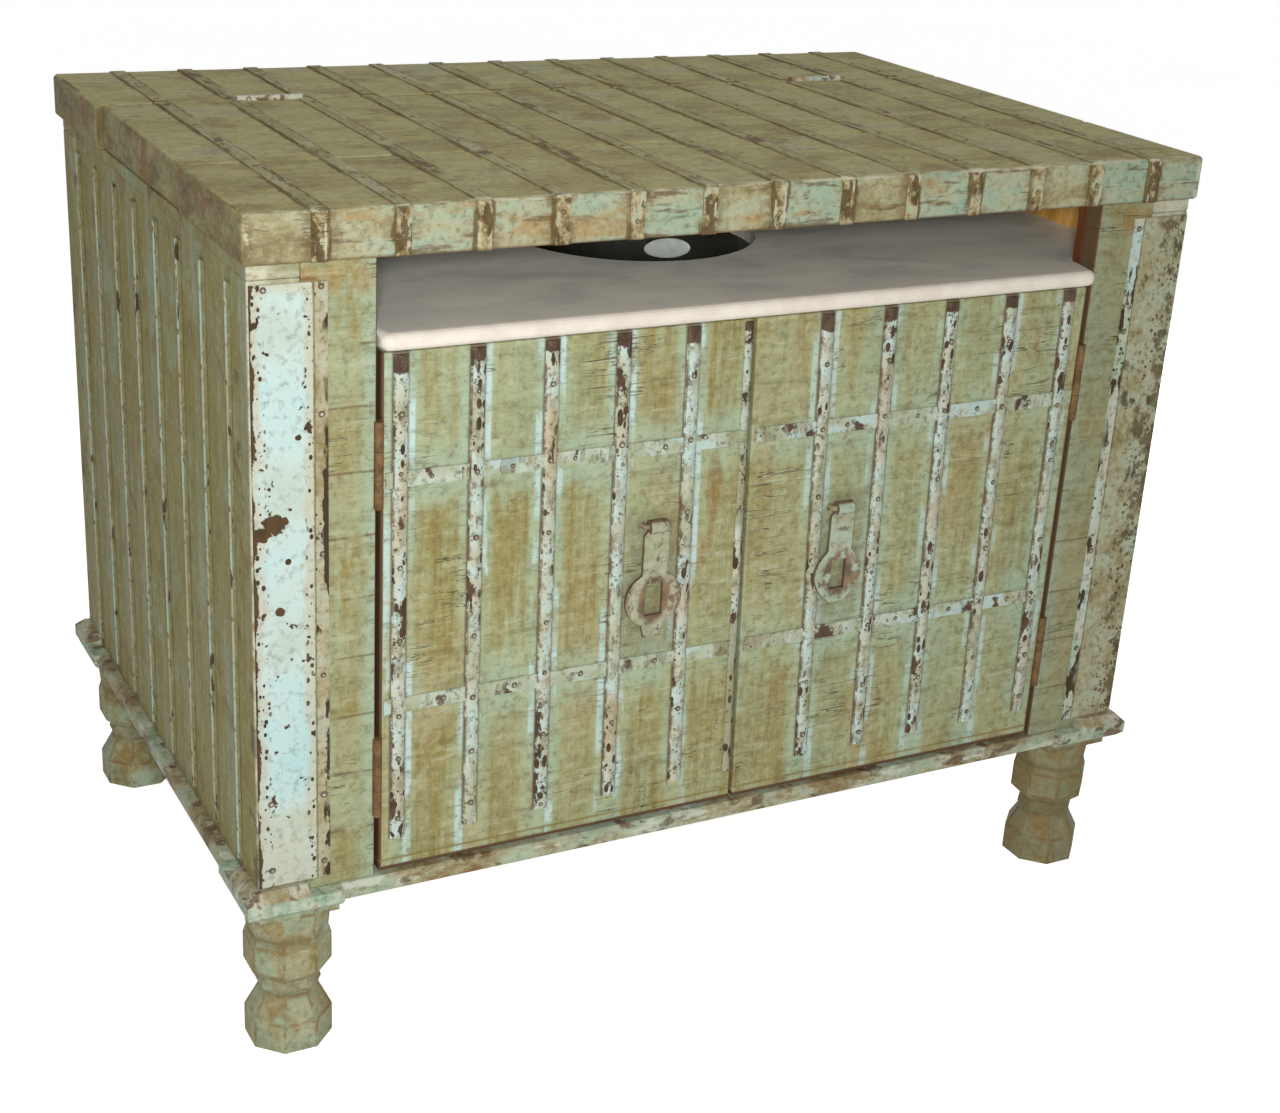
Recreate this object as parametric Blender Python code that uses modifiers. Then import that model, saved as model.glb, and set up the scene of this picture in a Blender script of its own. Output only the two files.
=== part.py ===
"""Bar cabinet: an iron-strapped chest on octagonal legs, with a lid over a marble counter and a sink.

The frame is X to the right, Y to the back and Z up. The origin is on the floor under the middle of the body.
"""
from math import asin, cos, pi, radians, sin

import bmesh
import bpy
from mathutils import Matrix, Vector

# Fits
SEAT_GAP = 0.0003
PIN_CLEARANCE = 0.0004
KNUCKLE_CLEARANCE = 0.0006

# Body
BODY_WIDTH = 1.085
BODY_DEPTH = 0.698
TOP_HEIGHT = 0.895

# Legs and base moulding
LEG_HEIGHT = 0.163
LEG_HALF_WIDTH = 0.0425
LEG_INSET = 0.001
LEG_SIDES = 8
FOOT_HEIGHT = 0.033
WAIST_HALF_WIDTH = 0.029
WAIST_LOW_HEIGHT = 0.060
RING_HALF_WIDTH = 0.032
RING_HEIGHT = 0.068
WAIST_HIGH_HEIGHT = 0.078
DRUM_LOW_HEIGHT = 0.091
DRUM_HIGH_HEIGHT = 0.122
NECK_HALF_WIDTH = 0.0395
NECK_HEIGHT = 0.132
BLOCK_HEIGHT = 0.013
MOULDING_HEIGHT = 0.030
MOULDING_NOSE = 0.0155
MOULDING_SLOPE = 0.010
MOULDING_CHAMFER = 0.006
RAIL_HEIGHT = 0.019
RAIL_NOSE = 0.005
SIDE_RAIL_NOSE = 0.010
RAIL_CHAMFER = 0.0025
RAIL_DEPTH = 0.040

# Carcass
POST_SIZE = 0.050
STILE_WIDTH = 0.073
STILE_THICKNESS = 0.024
BATTEN_THICKNESS = 0.014
PANEL_THICKNESS = 0.020
PANEL_INSET = 0.002
BACK_THICKNESS = 0.016
BOTTOM_THICKNESS = 0.018
TOP_RAIL_HEIGHT = 0.0134
EDGE_ROUND = 0.0015

# Iron on the carcass
STRAP_EMBED = 0.002
STRAP_SHOULDER = 0.35
STRAP_STEPS = 6
STRAP_SMOOTH_ANGLE = 40.0
SIDE_STRAP_WIDTH = 0.014
SIDE_STRAP_THICKNESS = 0.0035
SIDE_STRAP_PITCH = 0.0817
SIDE_STRAP_HEAD = 0.016
SIDE_STRAP_FOOT = 0.004
PLATE_WIDTH = 0.059
PLATE_THICKNESS = 0.002
PLATE_HEAD = 0.004
PLATE_FOOT = 0.003
POST_STRAP_WIDTH = 0.0125
POST_STRAP_SPACE = 0.002

# Counter and sink
SLOT_HEIGHT = 0.071
COUNTER_THICKNESS = 0.018
COUNTER_LIP = 0.012
COUNTER_SIDE_GAP = 0.002
COUNTER_NOSE = 0.008
COUNTER_CORNER = 0.010
BEARER_WIDTH = 0.025
BEARER_HEIGHT = 0.025
FRONT_BEARER_HEIGHT = 0.040
SINK_X = -0.007
SINK_Y = -0.048
CUTOUT_RADIUS = 0.146
BOWL_REVEAL = 0.002
BOWL_WALL = 0.003
BOWL_FLANGE = 0.020
BOWL_DEPTH = 0.150
BOWL_CORNER = 0.045
BOWL_STEPS = 48
THROAT_RADIUS = 0.024
DRAIN_WALL = 0.003
DRAIN_FLANGE = 0.010
DRAIN_FLANGE_HEIGHT = 0.003
DRAIN_LENGTH = 0.060
DRAIN_STEPS = 24
NUT_WALL = 0.007
NUT_HEIGHT = 0.010
NUT_SIDES = 6
OVERFLOW_WIDTH = 0.060
OVERFLOW_HEIGHT = 0.024
OVERFLOW_THICKNESS = 0.002
OVERFLOW_DROP = 0.0545
OVERFLOW_BEARING = 42.0
OVERFLOW_BORDER = 0.004

# Lid
LID_THICKNESS = 0.048
LID_OVERHANG_SIDE = 0.0075
LID_OVERHANG_FRONT = 0.006
LID_EDGE_ROUND = 0.004
FRONT_BOARD_DEPTH = 0.205
FRONT_BOARD_STEP = 0.003
REAR_BOARD_DEPTH = 0.198
MIDDLE_BOARD_STEP = 0.007
SEAM_GAP = 0.002
LID_STRAP_WIDTH = 0.016
LID_STRAP_THICKNESS = 0.0015
LID_STRAP_PITCH = 0.0797
LID_STRAP_SHIFT = 0.0018
LID_STRAP_MARGIN = 0.050
LID_STRAP_ROUND = 0.005
LID_STRAP_FOOT = 0.0006
STRAP_SEAM_SPACE = 0.006
LID_HINGE_LENGTH = 0.076
LID_HINGE_INSET = 0.193
LID_LEAF_DEPTH = 0.030

# Doors
DOOR_THICKNESS = 0.024
DOOR_GAP = 0.0045
DOOR_TOP_GAP = 0.003
DOOR_BOTTOM_GAP = 0.0045
MEETING_X = -0.004
LEAN = 0.0175
LEAN_PEAK_X = 0.070
LEAN_REACH = 0.450
LEFT_STRAP_FIRST = 0.0771
LEFT_STRAP_PITCH = 0.0796
RIGHT_STRAP_FIRST = 0.0840
RIGHT_STRAP_PITCH = 0.0772
DOOR_STRAP_WIDTH = 0.015
DOOR_STRAP_THICKNESS = 0.0035
DOOR_STRAP_HEAD = 0.002
DOOR_STRAP_FOOT = 0.036
DOOR_STRAP_MARGIN = 0.012
MEETING_STRAP_WIDTH = 0.009
MEETING_STRAP_INSET = 0.0015
BAND_WIDTH = 0.016
BAND_THICKNESS = 0.0016
BAND_INSET = 0.004
LOWER_BAND_HEIGHT = 0.188
UPPER_BAND_HEIGHT = 0.429
DOOR_HINGE_LENGTH = 0.088
DOOR_HINGE_INSET = 0.110
DOOR_LEAF_DEPTH = 0.018

# Butt hinges
HINGE_PROUD = 0.001
KNUCKLE_RADIUS = 0.0045
KNUCKLE_SHARE = 0.34
KNUCKLE_GAP = 0.0005
PIN_RADIUS = 0.0022
LEAF_THICKNESS = 0.002
ROUND_SIDES = 16

# Hasps and their staples
HASP_THICKNESS = 0.004
HASP_STANDOFF = 0.0045
HASP_NECK = 0.029
HASP_SHOULDER_DROP = 0.0095
HASP_TAIL = 0.026
HASP_TAIL_END = 0.019
HASP_RING_STEPS = 14
HASP_EYE_RADIUS = 0.0075
HASP_EYE_WIDTH = 0.020
STAPLE_RADIUS = 0.0030
STAPLE_WIDTH = 0.034
STAPLE_CORNER = 0.003
STAPLE_DRIVEN = 0.015
LEFT_HASP = {"x": -0.115, "height": 0.545, "drop": 0.082, "ring_width": 0.066, "ring_height": 0.062,
             "tail": 0.015, "slot_width": 0.020, "slot_height": 0.036, "roundness": 2.0}
RIGHT_HASP = {"x": 0.113, "height": 0.536, "drop": 0.078, "ring_width": 0.060, "ring_height": 0.070,
              "tail": 0.004, "slot_width": 0.018, "slot_height": 0.034, "roundness": 1.6}

# Colours of the finishes: red, green, blue, roughness, metallic
FINISHES = {
    "green_paint": (0.34, 0.36, 0.20, 0.75, 0.0),
    "olive_paint": (0.24, 0.23, 0.12, 0.80, 0.0),
    "pale_iron": (0.62, 0.70, 0.68, 0.60, 0.2),
    "rusted_iron": (0.16, 0.09, 0.05, 0.80, 0.5),
    "bare_wood": (0.22, 0.09, 0.04, 0.70, 0.0),
    "ochre_wood": (0.42, 0.25, 0.09, 0.70, 0.0),
    "marble": (0.50, 0.46, 0.43, 0.25, 0.0),
    "dark_enamel": (0.012, 0.010, 0.009, 0.15, 0.0),
    "bright_metal": (0.62, 0.66, 0.62, 0.25, 1.0),
}

# Levels and faces that several pieces share
HALF_WIDTH = BODY_WIDTH / 2
HALF_DEPTH = BODY_DEPTH / 2
FRONT = -HALF_DEPTH
MOULDING_BOTTOM = LEG_HEIGHT + BLOCK_HEIGHT
BASE_TOP = MOULDING_BOTTOM + MOULDING_HEIGHT
RAIL_TOP = MOULDING_BOTTOM + RAIL_HEIGHT
LID_BOTTOM = TOP_HEIGHT - LID_THICKNESS
FRAME_TOP = LID_BOTTOM - SEAT_GAP
COUNTER_TOP = LID_BOTTOM - SLOT_HEIGHT
POST_TOP = FRAME_TOP - TOP_RAIL_HEIGHT - SEAT_GAP
POST_FOOT = BASE_TOP + SEAT_GAP
FRAME_FOOT = RAIL_TOP + SEAT_GAP
LEG_X = HALF_WIDTH - LEG_INSET - LEG_HALF_WIDTH
LEG_Y = HALF_DEPTH - LEG_INSET - LEG_HALF_WIDTH
POST_INNER_X = HALF_WIDTH - POST_SIZE
POST_INNER_Y = HALF_DEPTH - POST_SIZE
STILE_OUTER = POST_INNER_X - SEAT_GAP
STILE_INNER = STILE_OUTER - STILE_WIDTH
STILE_BACK = FRONT + STILE_THICKNESS
BATTEN_BACK = STILE_BACK + SEAT_GAP + BATTEN_THICKNESS
SIDE_FACE = HALF_WIDTH - PANEL_INSET
SIDE_INNER = SIDE_FACE - PANEL_THICKNESS
BACK_FACE = HALF_DEPTH - PANEL_INSET
BACK_INNER = BACK_FACE - BACK_THICKNESS
COUNTER_BOTTOM = COUNTER_TOP - COUNTER_THICKNESS
BEARER_TOP = COUNTER_BOTTOM - SEAT_GAP
BOWL_RADIUS = CUTOUT_RADIUS + BOWL_REVEAL
BOWL_TOP = COUNTER_BOTTOM - SEAT_GAP
BOWL_FLOOR = BOWL_TOP - BOWL_DEPTH
DRAIN_RADIUS = THROAT_RADIUS + DRAIN_WALL
LID_HALF_WIDTH = HALF_WIDTH + LID_OVERHANG_SIDE
LID_HALF_DEPTH = HALF_DEPTH + LID_OVERHANG_FRONT
LID_HINGE_X = LID_HALF_WIDTH - LID_HINGE_INSET
LID_FRONT = -LID_HALF_DEPTH
REAR_SEAM = LID_HALF_DEPTH - REAR_BOARD_DEPTH
FRONT_SEAM = LID_FRONT + FRONT_BOARD_DEPTH
LID_AXIS = Vector((0, REAR_SEAM - SEAM_GAP / 2, TOP_HEIGHT + HINGE_PROUD))
DOOR_OUTER = STILE_INNER - DOOR_GAP
DOOR_FOOT = RAIL_TOP + DOOR_BOTTOM_GAP
DOOR_HEAD = COUNTER_BOTTOM - DOOR_TOP_GAP
DOOR_HEIGHT = DOOR_HEAD - DOOR_FOOT
DOOR_MIDDLE = (DOOR_HEAD + DOOR_FOOT) / 2
DOOR_AXIS_X = STILE_INNER - DOOR_GAP / 2
DOOR_AXIS_Y = FRONT - HINGE_PROUD
HASP_AXIS_Y = FRONT - SEAT_GAP - HASP_EYE_RADIUS
HASP_PLATE_Y = FRONT - HASP_STANDOFF - HASP_THICKNESS / 2
OCTAGON_CORNER = 1 / cos(pi / LEG_SIDES)


def clear_scene():
    for obj in list(bpy.data.objects):
        bpy.data.objects.remove(obj)


def new_collection(name):
    collection = bpy.data.collections.new(name)
    bpy.context.scene.collection.children.link(collection)
    return collection


def make_finishes():
    finishes = {}
    for name, (red, green, blue, roughness, metallic) in FINISHES.items():
        material = bpy.data.materials.new(name)
        material.use_nodes = True
        shader = material.node_tree.nodes["Principled BSDF"]
        shader.inputs["Base Color"].default_value = (red, green, blue, 1)
        shader.inputs["Roughness"].default_value = roughness
        shader.inputs["Metallic"].default_value = metallic
        finishes[name] = material
    return finishes


clear_scene()
PARTS = new_collection("bar_cabinet")
CUTTERS = new_collection("cutters")
FINISH = make_finishes()


def add_object(name, mesh, finish):
    """Link a mesh as a finished part, or as a hidden working solid where finish is None."""
    obj = bpy.data.objects.new(name, mesh)
    if finish is None:
        CUTTERS.objects.link(obj)
        obj.hide_render = True
        obj.display_type = "WIRE"
    else:
        PARTS.objects.link(obj)
        obj.data.materials.append(FINISH[finish])
    return obj


def mesh_from(bm, name):
    mesh = bpy.data.meshes.new(name)
    bm.to_mesh(mesh)
    bm.free()
    return mesh


def add_cube(bm, low, high):
    """Add a box between two corners to a bmesh and return its vertices."""
    size = Vector(high) - Vector(low)
    middle = (Vector(high) + Vector(low)) / 2
    matrix = Matrix.Translation(middle) @ Matrix.Diagonal((*size, 1))
    return bmesh.ops.create_cube(bm, size=1, matrix=matrix)["verts"]


def box(name, low, high, finish=None, rounding=0.0):
    """A box between two corners, its origin in its middle, with rounded edges."""
    middle = (Vector(high) + Vector(low)) / 2
    bm = bmesh.new()
    add_cube(bm, Vector(low) - middle, Vector(high) - middle)
    obj = add_object(name, mesh_from(bm, name), finish)
    obj.location = middle
    if rounding:
        round_edges(obj, rounding)
    return obj


def boxes(name, corner_pairs):
    """Several separate boxes in one working solid."""
    bm = bmesh.new()
    for low, high in corner_pairs:
        add_cube(bm, low, high)
    return add_object(name, mesh_from(bm, name), None)


def round_edges(obj, width, segments=2):
    bevel = obj.modifiers.new("Rounded edges", "BEVEL")
    bevel.width = width
    bevel.segments = segments
    bevel.limit_method = "ANGLE"
    bevel.angle_limit = radians(40)


def combine(target, operand, operation):
    boolean = target.modifiers.new(operand.name, "BOOLEAN")
    boolean.operation = operation
    boolean.object = operand


def freeze(obj, smooth_angle=None):
    """Turn an object and its modifiers into a plain mesh, smooth between faces that meet at a low angle."""
    bpy.context.view_layer.update()
    evaluated = obj.evaluated_get(bpy.context.evaluated_depsgraph_get())
    mesh = bpy.data.meshes.new_from_object(evaluated)
    obj.modifiers.clear()
    obj.data = mesh
    if smooth_angle:
        mesh.shade_smooth()
        mesh.set_sharp_from_angle(angle=radians(smooth_angle))
    return obj


def curve_mesh(curve, name):
    """The welded mesh of a curve with its caps."""
    obj = bpy.data.objects.new(name, curve)
    PARTS.objects.link(obj)
    bpy.context.view_layer.update()
    evaluated = obj.evaluated_get(bpy.context.evaluated_depsgraph_get())
    mesh = bpy.data.meshes.new_from_object(evaluated)
    bpy.data.objects.remove(obj)
    bm = bmesh.new()
    bm.from_mesh(mesh)
    bmesh.ops.remove_doubles(bm, verts=bm.verts, dist=0.00001)
    bmesh.ops.dissolve_limit(bm, angle_limit=radians(1), verts=bm.verts, edges=bm.edges)
    bm.to_mesh(mesh)
    bm.free()
    return mesh


def outline_mesh(name, outlines, thickness):
    """A flat outline with its holes in XY, given a thickness along Z about its own plane."""
    curve = bpy.data.curves.new(name, "CURVE")
    curve.dimensions = "2D"
    curve.fill_mode = "BOTH"
    curve.extrude = thickness / 2
    for points in outlines:
        spline = curve.splines.new("POLY")
        spline.points.add(len(points) - 1)
        for spline_point, (x, y) in zip(spline.points, points):
            spline_point.co = (x, y, 0, 1)
        spline.use_cyclic_u = True
    return curve_mesh(curve, name)


def prism(name, outlines, thickness, matrix, finish=None):
    obj = add_object(name, outline_mesh(name, outlines, thickness), finish)
    obj.matrix_world = matrix
    return obj


def turned(name, profile, steps, finish=None, smooth=True):
    """Turn a profile of (radius, height) points, listed down its outer side, about Z."""
    mesh = bpy.data.meshes.new(name)
    points = [(radius, 0, height) for radius, height in profile]
    edges = [(index, index + 1) for index in range(len(points) - 1)]
    mesh.from_pydata(points, edges, [])
    obj = add_object(name, mesh, finish)
    screw = obj.modifiers.new("Turned", "SCREW")
    screw.axis = "Z"
    screw.angle = 2 * pi
    screw.steps = steps
    screw.render_steps = steps
    screw.use_smooth_shade = smooth
    screw.use_merge_vertices = True
    screw.merge_threshold = 0.00001
    return obj


def cylinder(name, radius, low_z, high_z, sides=ROUND_SIDES, finish=None):
    bm = bmesh.new()
    matrix = Matrix.Translation((0, 0, (low_z + high_z) / 2))
    bmesh.ops.create_cone(bm, cap_ends=True, segments=sides, radius1=radius, radius2=radius,
                          depth=high_z - low_z, matrix=matrix)
    return add_object(name, mesh_from(bm, name), finish)


def arc(centre_x, centre_y, radius, start, end, count):
    """Points on a circle from one angle to another, in degrees, both ends included."""
    points = []
    for index in range(count + 1):
        angle = radians(start + (end - start) * index / count)
        points.append((centre_x + radius * cos(angle), centre_y + radius * sin(angle)))
    return points


def add_copy(bm, mesh, matrix):
    """Add a mesh to a bmesh at one place and return its new vertices."""
    start = len(bm.verts)
    bm.from_mesh(mesh)
    bm.verts.ensure_lookup_table()
    added = bm.verts[start:]
    bmesh.ops.transform(bm, matrix=matrix, verts=added)
    return added


def domed_strap(name, width, thickness, length, embed=0.0):
    """A strap along Z with a flat back and a domed face towards +Y."""
    section = [(width / 2, -embed)]
    for index in range(STRAP_STEPS + 1):
        across = width * (1 / 2 - index / STRAP_STEPS)
        rise = STRAP_SHOULDER + (1 - STRAP_SHOULDER) * cos(pi * across / width)
        section.append((across, thickness * rise))
    section.append((-width / 2, -embed))
    return outline_mesh(name, [section], length)


def axis_empty(name, place, parent=None):
    empty = bpy.data.objects.new(name, None)
    PARTS.objects.link(empty)
    empty.location = place
    if parent:
        carry(parent, [empty])
    return empty


def carry(parent, children):
    """Parent objects to an axis without moving them."""
    bpy.context.view_layer.update()
    for child in children:
        child.parent = parent
        child.matrix_parent_inverse = parent.matrix_world.inverted()


def centred_pattern(span, pitch):
    """Centres of as many copies as fit in a span, about its middle."""
    count = int(span / pitch) + 1
    return [(index - (count - 1) / 2) * pitch for index in range(count)]


def corner_name(x_sign, y_sign):
    return ("front" if y_sign < 0 else "back") + ("_left" if x_sign < 0 else "_right")


CORNERS = [(x_sign, y_sign) for y_sign in (-1, 1) for x_sign in (-1, 1)]
SIDES = ((-1, "left"), (1, "right"))


def span(sign, near, far):
    """The low and high ends of a stretch on one side of the middle."""
    return min(sign * near, sign * far), max(sign * near, sign * far)


# Base: legs, their head blocks and the moulded rails between them

def leg_profile():
    """Half widths across the flats and heights, from the top of the leg down."""
    return [
        (0, LEG_HEIGHT + BLOCK_HEIGHT / 2),
        (LEG_HALF_WIDTH, LEG_HEIGHT + BLOCK_HEIGHT / 2),
        (LEG_HALF_WIDTH, LEG_HEIGHT - SEAT_GAP),
        (NECK_HALF_WIDTH, NECK_HEIGHT),
        (LEG_HALF_WIDTH, DRUM_HIGH_HEIGHT),
        (LEG_HALF_WIDTH, DRUM_LOW_HEIGHT),
        (WAIST_HALF_WIDTH, WAIST_HIGH_HEIGHT),
        (RING_HALF_WIDTH, RING_HEIGHT),
        (WAIST_HALF_WIDTH, WAIST_LOW_HEIGHT),
        (LEG_HALF_WIDTH, FOOT_HEIGHT),
        (LEG_HALF_WIDTH, 0),
        (0, 0),
    ]


def leg_head(name, x_sign, y_sign):
    """The square head of a leg, with the moulding's nose on its outer sides and a raised seat for the post."""
    x_low, x_high = span(x_sign, LEG_X - LEG_HALF_WIDTH, HALF_WIDTH + MOULDING_NOSE)
    y_low, y_high = span(y_sign, LEG_Y - LEG_HALF_WIDTH, HALF_DEPTH + MOULDING_NOSE)
    bm = bmesh.new()
    add_cube(bm, (x_low, y_low, MOULDING_BOTTOM), (x_high, y_high, BASE_TOP))
    nose_x = x_sign * (HALF_WIDTH + MOULDING_NOSE)
    nose_y = y_sign * (HALF_DEPTH + MOULDING_NOSE)
    for level, width in ((BASE_TOP, MOULDING_SLOPE), (MOULDING_BOTTOM, MOULDING_CHAMFER)):
        edges = []
        for edge in bm.edges:
            middle = (edge.verts[0].co + edge.verts[1].co) / 2
            outer = abs(middle.x - nose_x) < SEAT_GAP or abs(middle.y - nose_y) < SEAT_GAP
            if outer and abs(middle.z - level) < SEAT_GAP:
                edges.append(edge)
        bmesh.ops.bevel(bm, geom=edges, offset=width, segments=1, affect="EDGES")
    head = add_object(name, mesh_from(bm, name), None)
    reach = HALF_WIDTH + HALF_DEPTH
    above = BASE_TOP + MOULDING_HEIGHT
    x_low, x_high = span(x_sign, 0, POST_INNER_X)
    y_low, y_high = span(y_sign, 0, POST_INNER_Y)
    combine(head, box(name + "_notch", (x_low, -reach, RAIL_TOP), (x_high, reach, above)), "DIFFERENCE")
    combine(head, box(name + "_side_notch", (-reach, y_low, RAIL_TOP), (reach, y_high, above)), "DIFFERENCE")
    return freeze(head)


def make_leg(x_sign, y_sign):
    name = "leg_" + corner_name(x_sign, y_sign)
    profile = [(half * OCTAGON_CORNER, height) for half, height in leg_profile()]
    leg = turned(name, profile, LEG_SIDES, "green_paint", smooth=False)
    leg.location = (x_sign * LEG_X, y_sign * LEG_Y, 0)
    leg.rotation_euler = (0, 0, pi / LEG_SIDES)
    centre = Vector((x_sign * LEG_X, y_sign * LEG_Y, 0))
    block = box(name + "_block", centre + Vector((-LEG_HALF_WIDTH, -LEG_HALF_WIDTH, LEG_HEIGHT)),
                centre + Vector((LEG_HALF_WIDTH, LEG_HALF_WIDTH, MOULDING_BOTTOM + MOULDING_CHAMFER)))
    combine(leg, block, "UNION")
    combine(leg, leg_head(name + "_head", x_sign, y_sign), "UNION")


def make_base_rail(name, length, turn, face_distance, nose):
    """A moulded rail whose nose points along -Y before it is turned about Z."""
    profile = [
        (RAIL_DEPTH, MOULDING_BOTTOM),
        (RAIL_DEPTH, RAIL_TOP),
        (RAIL_CHAMFER - nose, RAIL_TOP),
        (-nose, RAIL_TOP - RAIL_CHAMFER),
        (-nose, MOULDING_BOTTOM + RAIL_CHAMFER),
        (RAIL_CHAMFER - nose, MOULDING_BOTTOM),
    ]
    along_x = Matrix(((0, 0, 1, 0), (1, 0, 0, -face_distance), (0, 1, 0, 0), (0, 0, 0, 1)))
    prism(name, [profile], length, Matrix.Rotation(turn, 4, "Z") @ along_x, "green_paint")


def make_base():
    for x_sign, y_sign in CORNERS:
        make_leg(x_sign, y_sign)
    front_length = 2 * (LEG_X - LEG_HALF_WIDTH - SEAT_GAP)
    side_length = 2 * (LEG_Y - LEG_HALF_WIDTH - SEAT_GAP)
    make_base_rail("base_rail_front", front_length, 0, HALF_DEPTH, RAIL_NOSE)
    make_base_rail("base_rail_right", side_length, pi / 2, HALF_WIDTH, SIDE_RAIL_NOSE)
    make_base_rail("base_rail_back", front_length, pi, HALF_DEPTH, RAIL_NOSE)
    make_base_rail("base_rail_left", side_length, -pi / 2, HALF_WIDTH, SIDE_RAIL_NOSE)


# Carcass: posts, stiles, panels, rails and bearers

def inner_outline(front_y, front_half, corner=0.0):
    """The plan of a board that fills the carcass and is notched round its posts, stiles and battens."""
    behind_batten = BATTEN_BACK + SEAT_GAP
    beside_post = POST_INNER_X - SEAT_GAP
    behind_post = POST_INNER_Y - SEAT_GAP
    beside_panel = SIDE_INNER - SEAT_GAP
    right = [(front_half, front_y)]
    if corner:
        right = arc(front_half - corner, front_y + corner, corner, -90, 0, 4)
    right += [
        (front_half, behind_batten),
        (beside_post, behind_batten),
        (beside_post, -behind_post),
        (beside_panel, -behind_post),
        (beside_panel, behind_post),
        (beside_post, behind_post),
        (beside_post, BACK_INNER - SEAT_GAP),
    ]
    return right + [(-x, y) for x, y in reversed(right)]


def make_posts():
    for x_sign, y_sign in CORNERS:
        x_low, x_high = span(x_sign, POST_INNER_X, HALF_WIDTH)
        y_low, y_high = span(y_sign, POST_INNER_Y, HALF_DEPTH)
        box("post_" + corner_name(x_sign, y_sign), (x_low, y_low, POST_FOOT), (x_high, y_high, POST_TOP),
            "olive_paint", EDGE_ROUND)


def make_stiles(hinge_cutters):
    for sign, side in SIDES:
        x_low, x_high = span(sign, STILE_INNER, STILE_OUTER)
        stile = box("stile_" + side, (x_low, FRONT, FRAME_FOOT), (x_high, STILE_BACK, FRAME_TOP),
                    "green_paint", EDGE_ROUND)
        for cutter in hinge_cutters[side]:
            combine(stile, cutter, "DIFFERENCE")
        box("batten_" + side, (x_low, STILE_BACK + SEAT_GAP, FRAME_FOOT), (x_high, BATTEN_BACK, FRAME_TOP),
            "bare_wood", EDGE_ROUND)


def make_side_panels():
    half_length = POST_INNER_Y - SEAT_GAP
    centres = centred_pattern(2 * half_length - SIDE_STRAP_WIDTH, SIDE_STRAP_PITCH)
    low_z = BASE_TOP + SIDE_STRAP_FOOT
    high_z = POST_TOP - SIDE_STRAP_HEAD
    strap = domed_strap("side_strap", SIDE_STRAP_WIDTH, SIDE_STRAP_THICKNESS, high_z - low_z, STRAP_EMBED)
    for sign, side in SIDES:
        x_low, x_high = span(sign, SIDE_INNER, SIDE_FACE)
        panel = box("side_panel_" + side, (x_low, -half_length, FRAME_FOOT), (x_high, half_length, POST_TOP),
                    "olive_paint", EDGE_ROUND)
        outward = Matrix.Rotation(-sign * pi / 2, 4, "Z")
        bm = bmesh.new()
        for y in centres:
            add_copy(bm, strap, Matrix.Translation((sign * SIDE_FACE, y, (low_z + high_z) / 2)) @ outward)
        name = "side_straps_" + side
        combine(panel, add_object(name, mesh_from(bm, name), None), "UNION")
        freeze(panel, STRAP_SMOOTH_ANGLE)


def make_back_and_bottom():
    half = POST_INNER_X - SEAT_GAP
    box("back_panel", (-half, BACK_INNER, FRAME_FOOT), (half, BACK_FACE, POST_TOP), "ochre_wood", EDGE_ROUND)
    front_y = FRONT + DOOR_THICKNESS + EDGE_ROUND
    plan = inner_outline(front_y, STILE_INNER - SEAT_GAP)
    place = Matrix.Translation((0, 0, FRAME_FOOT + BOTTOM_THICKNESS / 2))
    prism("bottom_board", [plan], BOTTOM_THICKNESS, place, "ochre_wood")


def make_top_rails():
    low_z = POST_TOP + SEAT_GAP
    for sign, side in SIDES:
        x_low, x_high = span(sign, POST_INNER_X, HALF_WIDTH)
        box("top_rail_" + side, (x_low, FRONT, low_z), (x_high, HALF_DEPTH, FRAME_TOP),
            "olive_paint", EDGE_ROUND)
    half = POST_INNER_X - SEAT_GAP
    box("top_rail_back", (-half, POST_INNER_Y, low_z), (half, HALF_DEPTH, FRAME_TOP),
        "olive_paint", EDGE_ROUND)


def make_bearers():
    half_length = POST_INNER_Y - SEAT_GAP
    for sign, side in SIDES:
        x_low, x_high = span(sign, SIDE_INNER - SEAT_GAP - BEARER_WIDTH, SIDE_INNER - SEAT_GAP)
        box("counter_bearer_" + side, (x_low, -half_length, BEARER_TOP - BEARER_HEIGHT),
            (x_high, half_length, BEARER_TOP), "ochre_wood", EDGE_ROUND)
    half = POST_INNER_X - SEAT_GAP
    back_y = BACK_INNER - SEAT_GAP
    box("counter_bearer_back", (-half, back_y - BEARER_WIDTH, BEARER_TOP - BEARER_HEIGHT),
        (half, back_y, BEARER_TOP), "ochre_wood", EDGE_ROUND)
    front_y = BATTEN_BACK + SEAT_GAP
    box("counter_bearer_front", (-half, front_y, BEARER_TOP - FRONT_BEARER_HEIGHT),
        (half, front_y + BEARER_WIDTH, BEARER_TOP), "ochre_wood", EDGE_ROUND)


def make_corner_iron():
    """The wide plate on each front post and the narrow strap beside it."""
    front_y = FRONT - SEAT_GAP - PLATE_THICKNESS
    low_z = BASE_TOP + PLATE_FOOT
    high_z = POST_TOP - PLATE_HEAD
    for sign, side in SIDES:
        outer = HALF_WIDTH - EDGE_ROUND
        inner = outer - PLATE_WIDTH
        x_low, x_high = span(sign, inner, outer)
        box("corner_plate_" + side, (x_low, front_y, low_z), (x_high, FRONT - SEAT_GAP, high_z), "pale_iron")
        strap_outer = inner - POST_STRAP_SPACE
        x_low, x_high = span(sign, strap_outer - POST_STRAP_WIDTH, strap_outer)
        box("post_strap_" + side, (x_low, front_y, low_z), (x_high, FRONT - SEAT_GAP, high_z), "pale_iron")


# Counter, sink, drain and overflow

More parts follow.
